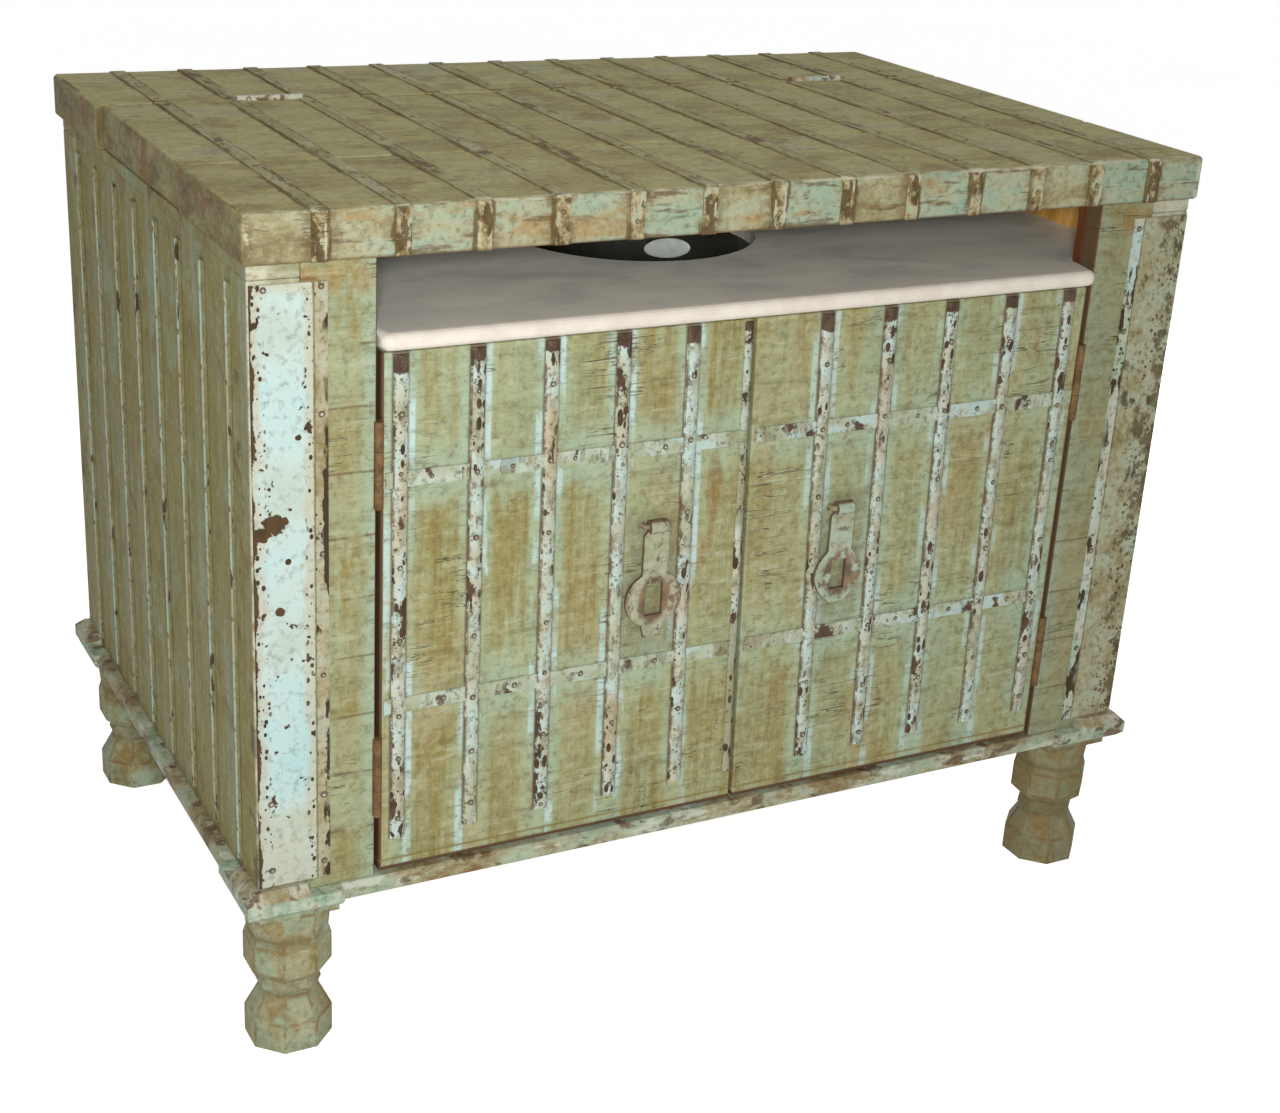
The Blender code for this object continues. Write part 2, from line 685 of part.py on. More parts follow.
def make_counter():
    front_y = FRONT - COUNTER_LIP
    plan = inner_outline(front_y, STILE_INNER - COUNTER_SIDE_GAP, COUNTER_CORNER)
    place = Matrix.Translation((0, 0, COUNTER_TOP - COUNTER_THICKNESS / 2))
    cutout = arc(SINK_X, SINK_Y, CUTOUT_RADIUS, 0, 360 - 360 / BOWL_STEPS, BOWL_STEPS - 1)
    slab = prism("counter_slab", [plan, cutout], COUNTER_THICKNESS, place, "marble")
    weights = slab.data.attributes.new("bevel_weight_edge", "FLOAT", "EDGE")
    for edge in slab.data.edges:
        ends = [slab.data.vertices[index].co for index in edge.vertices]
        level = abs(ends[0].z - ends[1].z) < SEAT_GAP
        on_lip = max(ends[0].y, ends[1].y) < front_y + COUNTER_CORNER + SEAT_GAP
        if level and on_lip and edge_is_rim(slab.data, edge):
            weights.data[edge.index].value = 1.0
    nose = slab.modifiers.new("Rounded lip", "BEVEL")
    nose.limit_method = "WEIGHT"
    nose.width = COUNTER_NOSE
    nose.segments = 4
    freeze(slab, 35)


def edge_is_rim(mesh, edge):
    """True for an edge between a flat face and an upright one."""
    upright = 0
    for polygon in mesh.polygons:
        if set(edge.vertices) <= set(polygon.vertices) and abs(polygon.normal.z) < 1 / 2:
            upright += 1
    return upright == 1


def bowl_profile():
    """The closed section of the bowl, down its outer side and up its inner side."""
    outer = BOWL_RADIUS + BOWL_WALL
    hole = DRAIN_RADIUS + SEAT_GAP
    corner_z = BOWL_FLOOR + BOWL_CORNER
    corner_r = BOWL_RADIUS - BOWL_CORNER
    section = [
        (outer + BOWL_FLANGE, BOWL_TOP),
        (outer + BOWL_FLANGE, BOWL_TOP - BOWL_WALL),
        (outer, BOWL_TOP - BOWL_WALL),
    ]
    section += arc(corner_r, corner_z, BOWL_CORNER + BOWL_WALL, 0, -90, 6)
    section += [(hole, BOWL_FLOOR - BOWL_WALL), (hole, BOWL_FLOOR)]
    section += arc(corner_r, corner_z, BOWL_CORNER, -90, 0, 6)
    section += [(BOWL_RADIUS, BOWL_TOP), section[0]]
    return section


def overflow_prism(name, width, height, near, far):
    """An oval bar that points from the bowl's axis out through its wall at the overflow."""
    half = (width - height) / 2
    oval = arc(half, 0, height / 2, -90, 90, 8) + arc(-half, 0, height / 2, 90, 270, 8)
    bearing = radians(OVERFLOW_BEARING)
    outward = Vector((cos(bearing), sin(bearing), 0))
    sideways = Vector((-sin(bearing), cos(bearing), 0))
    up = Vector((0, 0, 1))
    middle = Vector((SINK_X, SINK_Y, COUNTER_TOP - OVERFLOW_DROP)) + outward * (near + far) / 2
    matrix = Matrix((sideways, up, outward)).transposed().to_4x4()
    return prism(name, [oval], far - near, Matrix.Translation(middle) @ matrix)


def make_sink():
    bowl = turned("sink_bowl", bowl_profile(), BOWL_STEPS, "dark_enamel")
    bowl.location = (SINK_X, SINK_Y, 0)
    slot = overflow_prism("overflow_slot", OVERFLOW_WIDTH - 2 * OVERFLOW_BORDER,
                          OVERFLOW_HEIGHT - 2 * OVERFLOW_BORDER,
                          BOWL_RADIUS - BOWL_WALL, BOWL_RADIUS + 2 * BOWL_WALL)
    combine(bowl, slot, "DIFFERENCE")
    freeze(bowl, 35)

    outer = BOWL_RADIUS - SEAT_GAP
    inner = outer - OVERFLOW_THICKNESS
    middle = COUNTER_TOP - OVERFLOW_DROP
    top, bottom = middle + OVERFLOW_HEIGHT, middle - OVERFLOW_HEIGHT
    section = [(outer, top), (outer, bottom), (inner, bottom), (inner, top), (outer, top)]
    plate = turned("sink_overflow_plate", section, BOWL_STEPS, "bright_metal")
    plate.location = (SINK_X, SINK_Y, 0)
    oval = overflow_prism("overflow_oval", OVERFLOW_WIDTH, OVERFLOW_HEIGHT,
                          inner - OVERFLOW_THICKNESS, outer + OVERFLOW_THICKNESS)
    combine(plate, oval, "INTERSECT")
    freeze(plate, 35)


def make_drain():
    flange_foot = BOWL_FLOOR + SEAT_GAP
    flange_top = flange_foot + DRAIN_FLANGE_HEIGHT
    tail = BOWL_FLOOR - DRAIN_LENGTH
    section = [
        (DRAIN_RADIUS + DRAIN_FLANGE, flange_foot + SEAT_GAP),
        (DRAIN_RADIUS + DRAIN_FLANGE, flange_foot),
        (DRAIN_RADIUS, flange_foot),
        (DRAIN_RADIUS, tail),
        (THROAT_RADIUS, tail),
        (THROAT_RADIUS, flange_foot),
        (DRAIN_RADIUS, flange_top),
        (DRAIN_RADIUS + DRAIN_FLANGE, flange_foot + SEAT_GAP),
    ]
    drain = turned("drain", section, DRAIN_STEPS, "bright_metal")
    drain.location = (SINK_X, SINK_Y, 0)
    freeze(drain, 35)

    top = BOWL_FLOOR - BOWL_WALL - SEAT_GAP
    outer = (DRAIN_RADIUS + NUT_WALL) / cos(pi / NUT_SIDES)
    nut = cylinder("drain_lock_nut", outer, top - NUT_HEIGHT, top, NUT_SIDES, "bright_metal")
    nut.location = (SINK_X, SINK_Y, 0)
    bore = cylinder("lock_nut_bore", DRAIN_RADIUS + 2 * SEAT_GAP, top - 2 * NUT_HEIGHT, top + NUT_HEIGHT,
                    DRAIN_STEPS)
    bore.location = (SINK_X, SINK_Y, 0)
    combine(nut, bore, "DIFFERENCE")


# Butt hinges, in a frame with the pin along Z, the leaves along +Y and the moving leaf at +X

def hinge_leaf(name, length, depth, gap, moving, finish):
    """One leaf with its knuckles. The fixed leaf also carries the pin."""
    sign = 1 if moving else -1
    x_low, x_high = span(sign, gap / 2, gap / 2 + LEAF_THICKNESS)
    knuckle_half = length * KNUCKLE_SHARE / 2
    plate_y = KNUCKLE_RADIUS + KNUCKLE_CLEARANCE
    if moving:
        stretches = [(-knuckle_half + KNUCKLE_GAP, knuckle_half - KNUCKLE_GAP)]
    else:
        stretches = [(-length / 2, -knuckle_half), (knuckle_half, length / 2)]
    leaf = box(name, (x_low, plate_y, -length / 2), (x_high, HINGE_PROUD + depth, length / 2), finish)
    for index, (low, high) in enumerate(stretches):
        tab = box(f"{name}_tab_{index}", (x_low, 0, low), (x_high, plate_y + LEAF_THICKNESS, high))
        combine(leaf, tab, "UNION")
        combine(leaf, cylinder(f"{name}_knuckle_{index}", KNUCKLE_RADIUS, low, high), "UNION")
    if moving:
        bore = cylinder(name + "_bore", PIN_RADIUS + PIN_CLEARANCE, -length, length)
        combine(leaf, bore, "DIFFERENCE")
    else:
        combine(leaf, cylinder(name + "_pin", PIN_RADIUS, -length / 2, length / 2), "UNION")
    return freeze(leaf, 35)


def hinge_cutter(name, length, depth, gap):
    """The room that both leaves and the knuckles take out of the two pieces they join."""
    reach = gap / 2 + LEAF_THICKNESS + SEAT_GAP
    half = length / 2 + SEAT_GAP
    room = box(name, (-reach, 0, -half), (reach, HINGE_PROUD + depth + SEAT_GAP, half))
    combine(room, cylinder(name + "_round", KNUCKLE_RADIUS + KNUCKLE_CLEARANCE, -half, half), "UNION")
    return freeze(room)


def place_hinge(name, matrix, length, depth, gap, finish):
    """Make both leaves and their cutter at one place. Returns the moving leaf and the cutter."""
    fixed = hinge_leaf(name + "_fixed_leaf", length, depth, gap, False, finish)
    moving = hinge_leaf(name + "_moving_leaf", length, depth, gap, True, finish)
    cutter = hinge_cutter(name + "_room", length, depth, gap)
    for obj in (fixed, moving, cutter):
        obj.matrix_world = matrix @ Matrix.Translation(obj.location)
    return moving, cutter


def make_door_hinges():
    """Two hinges on each door. Returns the moving leaves and the cutters of each side."""
    leaves = {"left": [], "right": []}
    cutters = {"left": [], "right": []}
    for sign, side in SIDES:
        turn = Matrix.Rotation(0 if sign < 0 else pi, 4, "Y")
        for level, z in (("lower", DOOR_FOOT + DOOR_HINGE_INSET), ("upper", DOOR_HEAD - DOOR_HINGE_INSET)):
            matrix = Matrix.Translation((sign * DOOR_AXIS_X, DOOR_AXIS_Y, z)) @ turn
            moving, cutter = place_hinge(f"door_hinge_{side}_{level}", matrix, DOOR_HINGE_LENGTH,
                                         DOOR_LEAF_DEPTH, DOOR_GAP, "rusted_iron")
            leaves[side].append(moving)
            cutters[side].append(cutter)
    return leaves, cutters


def make_lid_hinges():
    leaves = []
    cutters = []
    forward_down = Matrix(((0, 0, 1, 0), (-1, 0, 0, 0), (0, -1, 0, 0), (0, 0, 0, 1)))
    for sign, side in SIDES:
        place = LID_AXIS + Vector((sign * LID_HINGE_X, 0, 0))
        matrix = Matrix.Translation(place) @ forward_down
        moving, cutter = place_hinge("lid_hinge_" + side, matrix, LID_HINGE_LENGTH, LID_LEAF_DEPTH, SEAM_GAP,
                                     "pale_iron")
        leaves.append(moving)
        cutters.append(cutter)
    return leaves, cutters


# Lid and the fixed rear board

def strap_section(edge_y, end_y):
    """Side view of a strap along the top of a board and down its edge at edge_y, as (y, z) points."""
    away = 1 if edge_y < end_y else -1
    top = TOP_HEIGHT + LID_STRAP_THICKNESS
    face = edge_y - away * LID_STRAP_THICKNESS
    foot = LID_BOTTOM + LID_STRAP_FOOT
    corner = arc(0, 0, LID_STRAP_ROUND, 90, 180, 4)
    points = [(end_y, top)]
    for u, v in corner:
        points.append((face + away * (LID_STRAP_ROUND + u), top - LID_STRAP_ROUND + v))
    points += [
        (face, foot),
        (edge_y + away * STRAP_EMBED, foot),
        (edge_y + away * STRAP_EMBED, TOP_HEIGHT - STRAP_EMBED),
        (end_y, TOP_HEIGHT - STRAP_EMBED),
    ]
    return points


def lid_strap_centres():
    centres = centred_pattern(2 * (LID_HALF_WIDTH - LID_STRAP_MARGIN), LID_STRAP_PITCH)
    return [x + LID_STRAP_SHIFT for x in centres]


def folded_straps(name, edge_y, end_y):
    """All the straps that run along a board and fold down over its outer edge, as one working solid."""
    mesh = outline_mesh(name, [strap_section(edge_y, end_y)], LID_STRAP_WIDTH)
    bm = bmesh.new()
    for x in lid_strap_centres():
        add_copy(bm, mesh, Matrix(((0, 0, 1, x), (1, 0, 0, 0), (0, 1, 0, 0), (0, 0, 0, 1))))
    return add_object(name, mesh_from(bm, name), None)


def flat_straps(name, low_y, high_y):
    pairs = []
    for x in lid_strap_centres():
        low = (x - LID_STRAP_WIDTH / 2, low_y, TOP_HEIGHT - STRAP_EMBED)
        high = (x + LID_STRAP_WIDTH / 2, high_y, TOP_HEIGHT + LID_STRAP_THICKNESS)
        pairs.append((low, high))
    return boxes(name, pairs)


def lid_board(name, left, low_y, high_y, straps, cutters):
    board = box(name, (left, low_y, LID_BOTTOM), (LID_HALF_WIDTH, high_y, TOP_HEIGHT),
                "olive_paint", LID_EDGE_ROUND)
    combine(board, straps, "UNION")
    for cutter in cutters:
        combine(board, cutter, "DIFFERENCE")
    return board


def make_lid():
    leaves, cutters = make_lid_hinges()
    seam_end = REAR_SEAM - SEAM_GAP
    front = lid_board("lid_front_board", FRONT_BOARD_STEP - LID_HALF_WIDTH, LID_FRONT, FRONT_SEAM - SEAT_GAP,
                      folded_straps("front_board_straps", LID_FRONT, FRONT_SEAM - SEAT_GAP), [])
    middle = lid_board("lid_middle_board", MIDDLE_BOARD_STEP - LID_HALF_WIDTH, FRONT_SEAM, seam_end,
                       flat_straps("middle_board_straps", FRONT_SEAM, seam_end - STRAP_SEAM_SPACE), cutters)
    lid_board("rear_top_board", -LID_HALF_WIDTH, REAR_SEAM, LID_HALF_DEPTH,
              folded_straps("rear_board_straps", LID_HALF_DEPTH, REAR_SEAM + STRAP_SEAM_SPACE), cutters)
    carry(axis_empty("lid_axis", LID_AXIS), [front, middle] + leaves)


# Doors with their straps, hasps and staples

def lean_at(x):
    """How far a hand-nailed upright at x leans to the right over the height of the doors."""
    return LEAN * max(0.0, 1 - abs(x - LEAN_PEAK_X) / LEAN_REACH)


def leaning_x(x, z):
    return x - lean_at(x) * (z - DOOR_MIDDLE) / DOOR_HEIGHT


def add_leaning_strap(bm, x, width, low_z, high_z):
    """Add an upright strap on the face of the doors that follows their lean at x."""
    strap = domed_strap("door_strap", width, DOOR_STRAP_THICKNESS, high_z - low_z)
    place = Matrix.Translation((x, FRONT - SEAT_GAP, (low_z + high_z) / 2))
    for vertex in add_copy(bm, strap, place @ Matrix.Rotation(pi, 4, "Z")):
        vertex.co.x += leaning_x(x, vertex.co.z) - x


def door_strap_places(sign):
    x, pitch = LEFT_STRAP_FIRST, LEFT_STRAP_PITCH
    if sign > 0:
        x, pitch = RIGHT_STRAP_FIRST, RIGHT_STRAP_PITCH
    places = []
    while x < DOOR_OUTER - DOOR_STRAP_MARGIN:
        places.append(sign * x)
        x += pitch
    return places


def make_door_straps(side, sign, meeting_edge):
    """The uprights and the two bands on one door, as one riveted lattice."""
    low_z = DOOR_FOOT + DOOR_STRAP_FOOT
    high_z = DOOR_HEAD - DOOR_STRAP_HEAD
    bm = bmesh.new()
    for x in door_strap_places(sign):
        add_leaning_strap(bm, x, DOOR_STRAP_WIDTH, low_z, high_z)
    if side == "left":
        x = meeting_edge - MEETING_STRAP_INSET - MEETING_STRAP_WIDTH / 2
        add_leaning_strap(bm, x, MEETING_STRAP_WIDTH, low_z, high_z)
    name = f"door_{side}_straps"
    straps = add_object(name, mesh_from(bm, name), "pale_iron")
    bands = []
    back_y = FRONT - SEAT_GAP
    for height in (LOWER_BAND_HEIGHT, UPPER_BAND_HEIGHT):
        z = DOOR_FOOT + height
        ends = sorted((sign * (DOOR_OUTER - BAND_INSET), leaning_x(meeting_edge, z) + sign * BAND_INSET))
        low = (ends[0], back_y - BAND_THICKNESS, z - BAND_WIDTH / 2)
        high = (ends[1], back_y, z + BAND_WIDTH / 2)
        bands.append((low, high))
    combine(straps, boxes(name + "_bands", bands), "UNION")
    return freeze(straps, STRAP_SMOOTH_ANGLE)


def make_door(side, sign, hinge_cutters):
    meeting_edge = MEETING_X + sign * DOOR_GAP / 2
    plan = [
        (sign * DOOR_OUTER, DOOR_FOOT),
        (leaning_x(meeting_edge, DOOR_FOOT), DOOR_FOOT),
        (leaning_x(meeting_edge, DOOR_HEAD), DOOR_HEAD),
        (sign * DOOR_OUTER, DOOR_HEAD),
    ]
    upright = Matrix.Translation((0, FRONT + DOOR_THICKNESS / 2, 0)) @ Matrix.Rotation(pi / 2, 4, "X")
    door = prism("door_" + side, [plan], DOOR_THICKNESS, upright, "green_paint")
    round_edges(door, EDGE_ROUND)
    for cutter in hinge_cutters:
        combine(door, cutter, "DIFFERENCE")
    return door, make_door_straps(side, sign, meeting_edge)


def hasp_outline(shape):
    """Front view of a hasp below its eye: neck, swelling ring and tail, about the eye's axis."""
    half_width = shape["ring_width"] / 2
    half_height = shape["ring_height"] / 2
    power = 2 / shape["roundness"]
    top = asin((HASP_NECK / 2 / half_width) ** (1 / power))
    bottom = pi - asin((HASP_TAIL / 2 / half_width) ** (1 / power))
    shoulder = (HASP_NECK - HASP_EYE_WIDTH) / 2
    right = [
        (HASP_EYE_WIDTH / 2, 0),
        (HASP_EYE_WIDTH / 2, shoulder - HASP_SHOULDER_DROP),
        (HASP_NECK / 2, -HASP_SHOULDER_DROP),
    ]
    for index in range(HASP_RING_STEPS + 1):
        angle = top + (bottom - top) * index / HASP_RING_STEPS
        x = half_width * sin(angle) ** power
        up = abs(cos(angle)) ** power * (1 if cos(angle) > 0 else -1)
        right.append((x, half_height * up - shape["drop"]))
    right.append((HASP_TAIL_END / 2, right[-1][1] - shape["tail"]))
    return right + [(-x, y) for x, y in reversed(right)]


def hasp_slot(shape):
    half_width, half_height = shape["slot_width"] / 2, shape["slot_height"] / 2
    low, high = -shape["drop"] - half_height, -shape["drop"] + half_height
    return [(half_width, low), (half_width, high), (-half_width, high), (-half_width, low)]


def make_hasp(side, shape, door, door_axis):
    axis = Vector((shape["x"], HASP_AXIS_Y, shape["height"]))
    name = "hasp_" + side
    plate = Matrix.Translation((shape["x"], HASP_PLATE_Y, shape["height"])) @ Matrix.Rotation(pi / 2, 4, "X")
    hasp = prism(name, [hasp_outline(shape), hasp_slot(shape)], HASP_THICKNESS, plate, "pale_iron")
    eye = cylinder(name + "_eye", HASP_EYE_RADIUS, -HASP_EYE_WIDTH / 2, HASP_EYE_WIDTH / 2)
    bore = cylinder(name + "_bore", STAPLE_RADIUS + PIN_CLEARANCE, -STAPLE_WIDTH, STAPLE_WIDTH)
    for solid, operation in ((eye, "UNION"), (bore, "DIFFERENCE")):
        solid.matrix_world = Matrix.Translation(axis) @ Matrix.Rotation(pi / 2, 4, "Y")
        combine(hasp, solid, operation)
    freeze(hasp, 35)
    staple = make_staple(side, axis, door)
    carry(door_axis, [staple])
    carry(axis_empty(name + "_axis", axis, door_axis), [hasp])


def make_staple(side, axis, door):
    """A wire staple: its bar runs through the hasp's eye and its legs are driven into the door."""
    half = STAPLE_WIDTH / 2 - STAPLE_RADIUS
    depth = FRONT + STAPLE_DRIVEN - axis.y
    corner = arc(half - STAPLE_CORNER, STAPLE_CORNER, STAPLE_CORNER, -90, 0, 3)
    right = corner + [(half, depth)]
    route = [(-x, y) for x, y in reversed(right)] + right
    name = "hasp_staple_" + side
    curve = bpy.data.curves.new(name, "CURVE")
    curve.dimensions = "3D"
    curve.bevel_depth = STAPLE_RADIUS
    curve.bevel_resolution = 2
    curve.use_fill_caps = True
    spline = curve.splines.new("POLY")
    spline.points.add(len(route) - 1)
    for point, (x, y) in zip(spline.points, route):
        point.co = (x, y, 0, 1)
    staple = add_object(name, curve_mesh(curve, name), "rusted_iron")
    staple.location = axis
    for sign, leg_side in SIDES:
        hole = cylinder(f"{name}_hole_{leg_side}", STAPLE_RADIUS + PIN_CLEARANCE, 0, depth + PIN_CLEARANCE)
        leg = Matrix.Translation(axis + Vector((sign * half, 0, 0)))
        hole.matrix_world = leg @ Matrix.Rotation(-pi / 2, 4, "X")
        combine(door, hole, "DIFFERENCE")
    return staple


def make_doors(leaves, cutters):
    for (sign, side), shape in zip(SIDES, (LEFT_HASP, RIGHT_HASP)):
        door, straps = make_door(side, sign, cutters[side])
        axis = axis_empty(f"door_{side}_axis", (sign * DOOR_AXIS_X, DOOR_AXIS_Y, 0))
        carry(axis, [door, straps] + leaves[side])
        make_hasp(side, shape, door, axis)


def make_cabinet():
    door_leaves, door_cutters = make_door_hinges()
    make_base()
    make_posts()
    make_stiles(door_cutters)
    make_side_panels()
    make_back_and_bottom()
    make_top_rails()
    make_bearers()
    make_corner_iron()
    make_counter()
    make_sink()
    make_drain()
    make_lid()
    make_doors(door_leaves, door_cutters)


make_cabinet()
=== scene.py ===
"""Looks of the bar cabinet: worn paint, chipped iron, marble and the studio round them."""

from math import cos, pi, radians, sin
from random import Random

import bmesh
import bpy
from mathutils import Matrix, Vector


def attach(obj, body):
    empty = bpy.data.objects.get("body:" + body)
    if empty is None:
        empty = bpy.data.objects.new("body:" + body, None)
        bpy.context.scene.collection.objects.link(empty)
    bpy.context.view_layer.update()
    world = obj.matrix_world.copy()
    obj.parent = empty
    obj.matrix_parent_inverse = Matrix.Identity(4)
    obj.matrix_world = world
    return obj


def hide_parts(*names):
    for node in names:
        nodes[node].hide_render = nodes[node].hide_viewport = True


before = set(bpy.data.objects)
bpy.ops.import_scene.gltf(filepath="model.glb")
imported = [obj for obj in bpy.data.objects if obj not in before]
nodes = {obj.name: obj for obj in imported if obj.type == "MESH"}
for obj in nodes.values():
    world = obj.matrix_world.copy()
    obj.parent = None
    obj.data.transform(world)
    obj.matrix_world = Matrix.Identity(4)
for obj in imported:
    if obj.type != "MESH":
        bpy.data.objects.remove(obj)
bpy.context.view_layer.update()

# Layout of the cabinet, in metres
LID_TOP = 0.895
LID_FOOT = 0.847
LID_FACE = 0.355
LID_STRAP_PITCH = 0.0797
LID_STRAP_MIDDLE = 0.0018
LID_STRAP_COUNT = 13
LID_STRAP_HALF = 0.008
LID_STRAP_RISE = 0.0015
LID_CORNER_X = 0.5435
SIDE_FACE = 0.5405
SIDE_STRAP_PITCH = 0.0817
SIDE_STRAP_COUNT = 8
SIDE_STRAP_RISE = 0.0035
SIDE_STRAP_HEAD = 0.8175
SIDE_INNER = 0.5225
BODY_FRONT = -0.349
DOOR_OUTER = 0.4147
DOOR_FOOT = 0.1995
DOOR_HEAD = 0.755
STILE_INNER = 0.4192
STILE_MIDDLE = 0.447
STILE_STAIN = 0.828
STILE_BLOCK = 0.064
STRAP_HALF = 0.0075
STRAP_RISE = 0.0038
STRAP_FOOT = 0.2345
STRAP_FIRST = {"left": -0.0771, "right": 0.0840}
STRAP_PITCH = {"left": -0.0796, "right": 0.0772}
STRAPS_PER_DOOR = 5
LEAN = 0.0175
LEAN_PEAK_X = 0.070
LEAN_REACH = 0.450
BAND_HEIGHTS = (0.3875, 0.6285)
BAND_HALF = 0.008
BAND_RISE = 0.0019
PLATE_INNER = 0.482
PLATE_OUTER = 0.541
PLATE_RISE = 0.0023
# Rust spots of the left plate: x, z, radius and raggedness
PLATE_BLOTS = (
    (-0.5215, 0.599, 0.0120, 0.026), (-0.5350, 0.590, 0.0090, 0.022), (-0.5100, 0.6015, 0.0050, 0.014),
    (-0.5075, 0.560, 0.0030, 0.004), (-0.5165, 0.509, 0.0048, 0.006), (-0.4960, 0.682, 0.0042, 0.010),
)
POST_STRAP_X = 0.4738
HASPS = {"left": (-0.115, 0.463), "right": (0.113, 0.458)}
COUNTER_TOP = 0.776
COUNTER_FRONT = -0.3545
LEG_X = 0.499
LEG_Y = 0.3055
LEG_HEAD = 0.176
LEG_SLOPE = 0.1955
LEG_WAIST = 0.071
LEG_NECK = 0.132
LEG_RINGS = (0.033, 0.060, 0.068, 0.078, 0.091, 0.122, 0.132, 0.163)


def colour(code):
    """A hexadecimal display colour as linear values."""
    values = []
    for start in (0, 2, 4):
        share = int(code[start:start + 2], 16) / 255
        values.append(share / 12.92 if share <= 0.04045 else ((share + 0.055) / 1.055) ** 2.4)
    return (*values, 1.0)


# Paints, as codes of display colours
SAGE = "9BA17A"
GREY_SAGE = "949F7F"
BEIGE = "9B936B"
AQUA = "98B099"
PALE_BLUE = "B0C4BE"
CREAM = "B5B49E"
OCHRE = "8A7E47"
OCHRE_DARK = "766633"
ORANGE = "9C7439"
BROWN = "5C412C"
CHIP = "3C2F1F"
GAP_BROWN = "553D29"
INNER_DARK = "77603D"
INNER_LIGHT = "9C8255"
# The dirt colour also serves for painted shade, and the dust colour for painted highlights.
DIRT_AND_SHADE = "6A5F43"
DUST_AND_HIGHLIGHT = "B3B69D"


# The finish of the CAD nodes, by how their names start
FINISH_OF = {}


class Finish:
    """Builds one procedural material from small steps, for the nodes whose names have the given starts."""

    def __init__(self, name, *starts):
        self.material = bpy.data.materials.new(name)
        FINISH_OF.update(dict.fromkeys(starts, self.material))
        self.material.use_nodes = True
        self.tree = self.material.node_tree
        self.shader = self.tree.nodes["Principled BSDF"]
        coordinates = self.add("TexCoord")
        self.place = coordinates.outputs["Object"]
        self.facing = coordinates.outputs["Normal"]
        self.x, self.y, self.z = self.add("SeparateXYZ", {0: self.place}).outputs
        turned = self.add("SeparateXYZ", {0: self.facing})
        self.turned_x, self.turned_y, self.turned_z = turned.outputs

    def add(self, kind, inputs=None, **settings):
        """A new node; its settings come first, as they decide which inputs it has."""
        node = self.tree.nodes.new("ShaderNode" + kind)
        for key, value in settings.items():
            setattr(node, key, value)
        for key, value in (inputs or {}).items():
            self.feed(node.inputs[key], value)
        return node

    def feed(self, socket, value):
        """Link a socket, or set it to a number or a colour code."""
        if isinstance(value, bpy.types.NodeSocket):
            self.tree.links.new(value, socket)
        else:
            socket.default_value = colour(value) if isinstance(value, str) else value

    def math(self, operation, first, second=0.0):
        return self.add("Math", {0: first, 1: second}, operation=operation).outputs[0]

    def plus(self, first, second):
        return self.math("ADD", first, second)

    def minus(self, first, second):
        return self.math("SUBTRACT", first, second)

    def over(self, first, second):
        return self.math("DIVIDE", first, second)

    def both(self, first, *others):
        """The product of masks, or of a mask and an amount."""
        for other in others:
            first = self.math("MULTIPLY", first, other)
        return first

    def either(self, first, *others):
        for other in others:
            first = self.math("MAXIMUM", first, other)
        return first

    def size(self, value):
        return self.math("ABSOLUTE", value)

    def far(self, value, centre):
        return self.size(self.minus(value, centre))

    def rise(self, value, low, high):
        """0 at low and 1 at high, smooth between and flat beyond; low may be the larger."""
        inputs = {"Value": value, "From Min": low, "From Max": high}
        return self.add("MapRange", inputs, interpolation_type="SMOOTHSTEP").outputs["Result"]

    def near(self, value, centre, outer, inner):
        """1 within the inner distance of a centre and 0 beyond the outer one."""
        return self.rise(self.far(value, centre), outer, inner)

    def placed(self, stretch, shift):
        """The place on the object, stretched and moved."""
        inputs = {"Vector": self.place, "Location": shift, "Scale": stretch}
        return self.add("Mapping", inputs).outputs[0]

    def noise(self, scale, detail=4, stretch=(1, 1, 1), shift=(0, 0, 0), rough=0.55, warp=0.0):
        """Cloudy values between 0 and 1; the stretch and shift say how the noise lies on the object."""
        inputs = {"Vector": self.placed(stretch, shift), "Scale": scale, "Detail": detail,
                  "Roughness": rough, "Distortion": warp}
        return self.add("TexNoise", inputs).outputs["Fac"]

    def patches(self, low, high, *form, **placing):
        """Ragged patches: a noise of this form, taken from 0 at low to 1 at high."""
        return self.rise(self.noise(*form, **placing), low, high)

    def mix(self, factor, first, second):
        inputs = {"Factor": factor, "A": first, "B": second}
        return self.add("Mix", inputs, data_type="RGBA").outputs["Result"]

    def coat(self, base, paint, *masks):
        """A paint over a colour, as much as the product of the masks."""
        return self.mix(self.both(*masks), base, paint)

    def tones(self, value, *stops):
        """A run of colour codes, each at its place on the value."""
        node = self.add("ValToRGB", {"Fac": value})
        elements = node.color_ramp.elements
        while len(elements) < len(stops):
            elements.new(1.0)
        for element, (position, shade) in zip(elements, stops):
            element.position = position
            element.color = colour(shade)
        return node.outputs["Color"]

    def chance(self, value):
        """A steady random share for each whole number."""
        return self.add("TexWhiteNoise", {"W": value}, noise_dimensions="1D").outputs["Value"]

    def row_offset(self, value, first, pitch):
        """Signed distance to the nearest member of a row that starts at first."""
        turns = self.over(self.minus(value, first), abs(pitch))
        return self.both(self.minus(turns, self.math("ROUND", turns)), abs(pitch))

    def reach(self, x, z, squash=1.0):
        """Distance from a point of a front face, with heights squashed."""
        aside = self.math("POWER", self.far(self.x, x), 2)
        above = self.math("POWER", self.both(self.far(self.z, z), squash), 2)
        return self.math("SQRT", self.plus(aside, above))

    def blot(self, x, z, radius, ragged):
        """A ragged spot on a front face."""
        edge = self.both(self.minus(self.noise(70, shift=(x * 9, 0, z * 7)), 0.5), ragged)
        return self.rise(self.plus(self.reach(x, z), edge), radius, radius * 0.85)

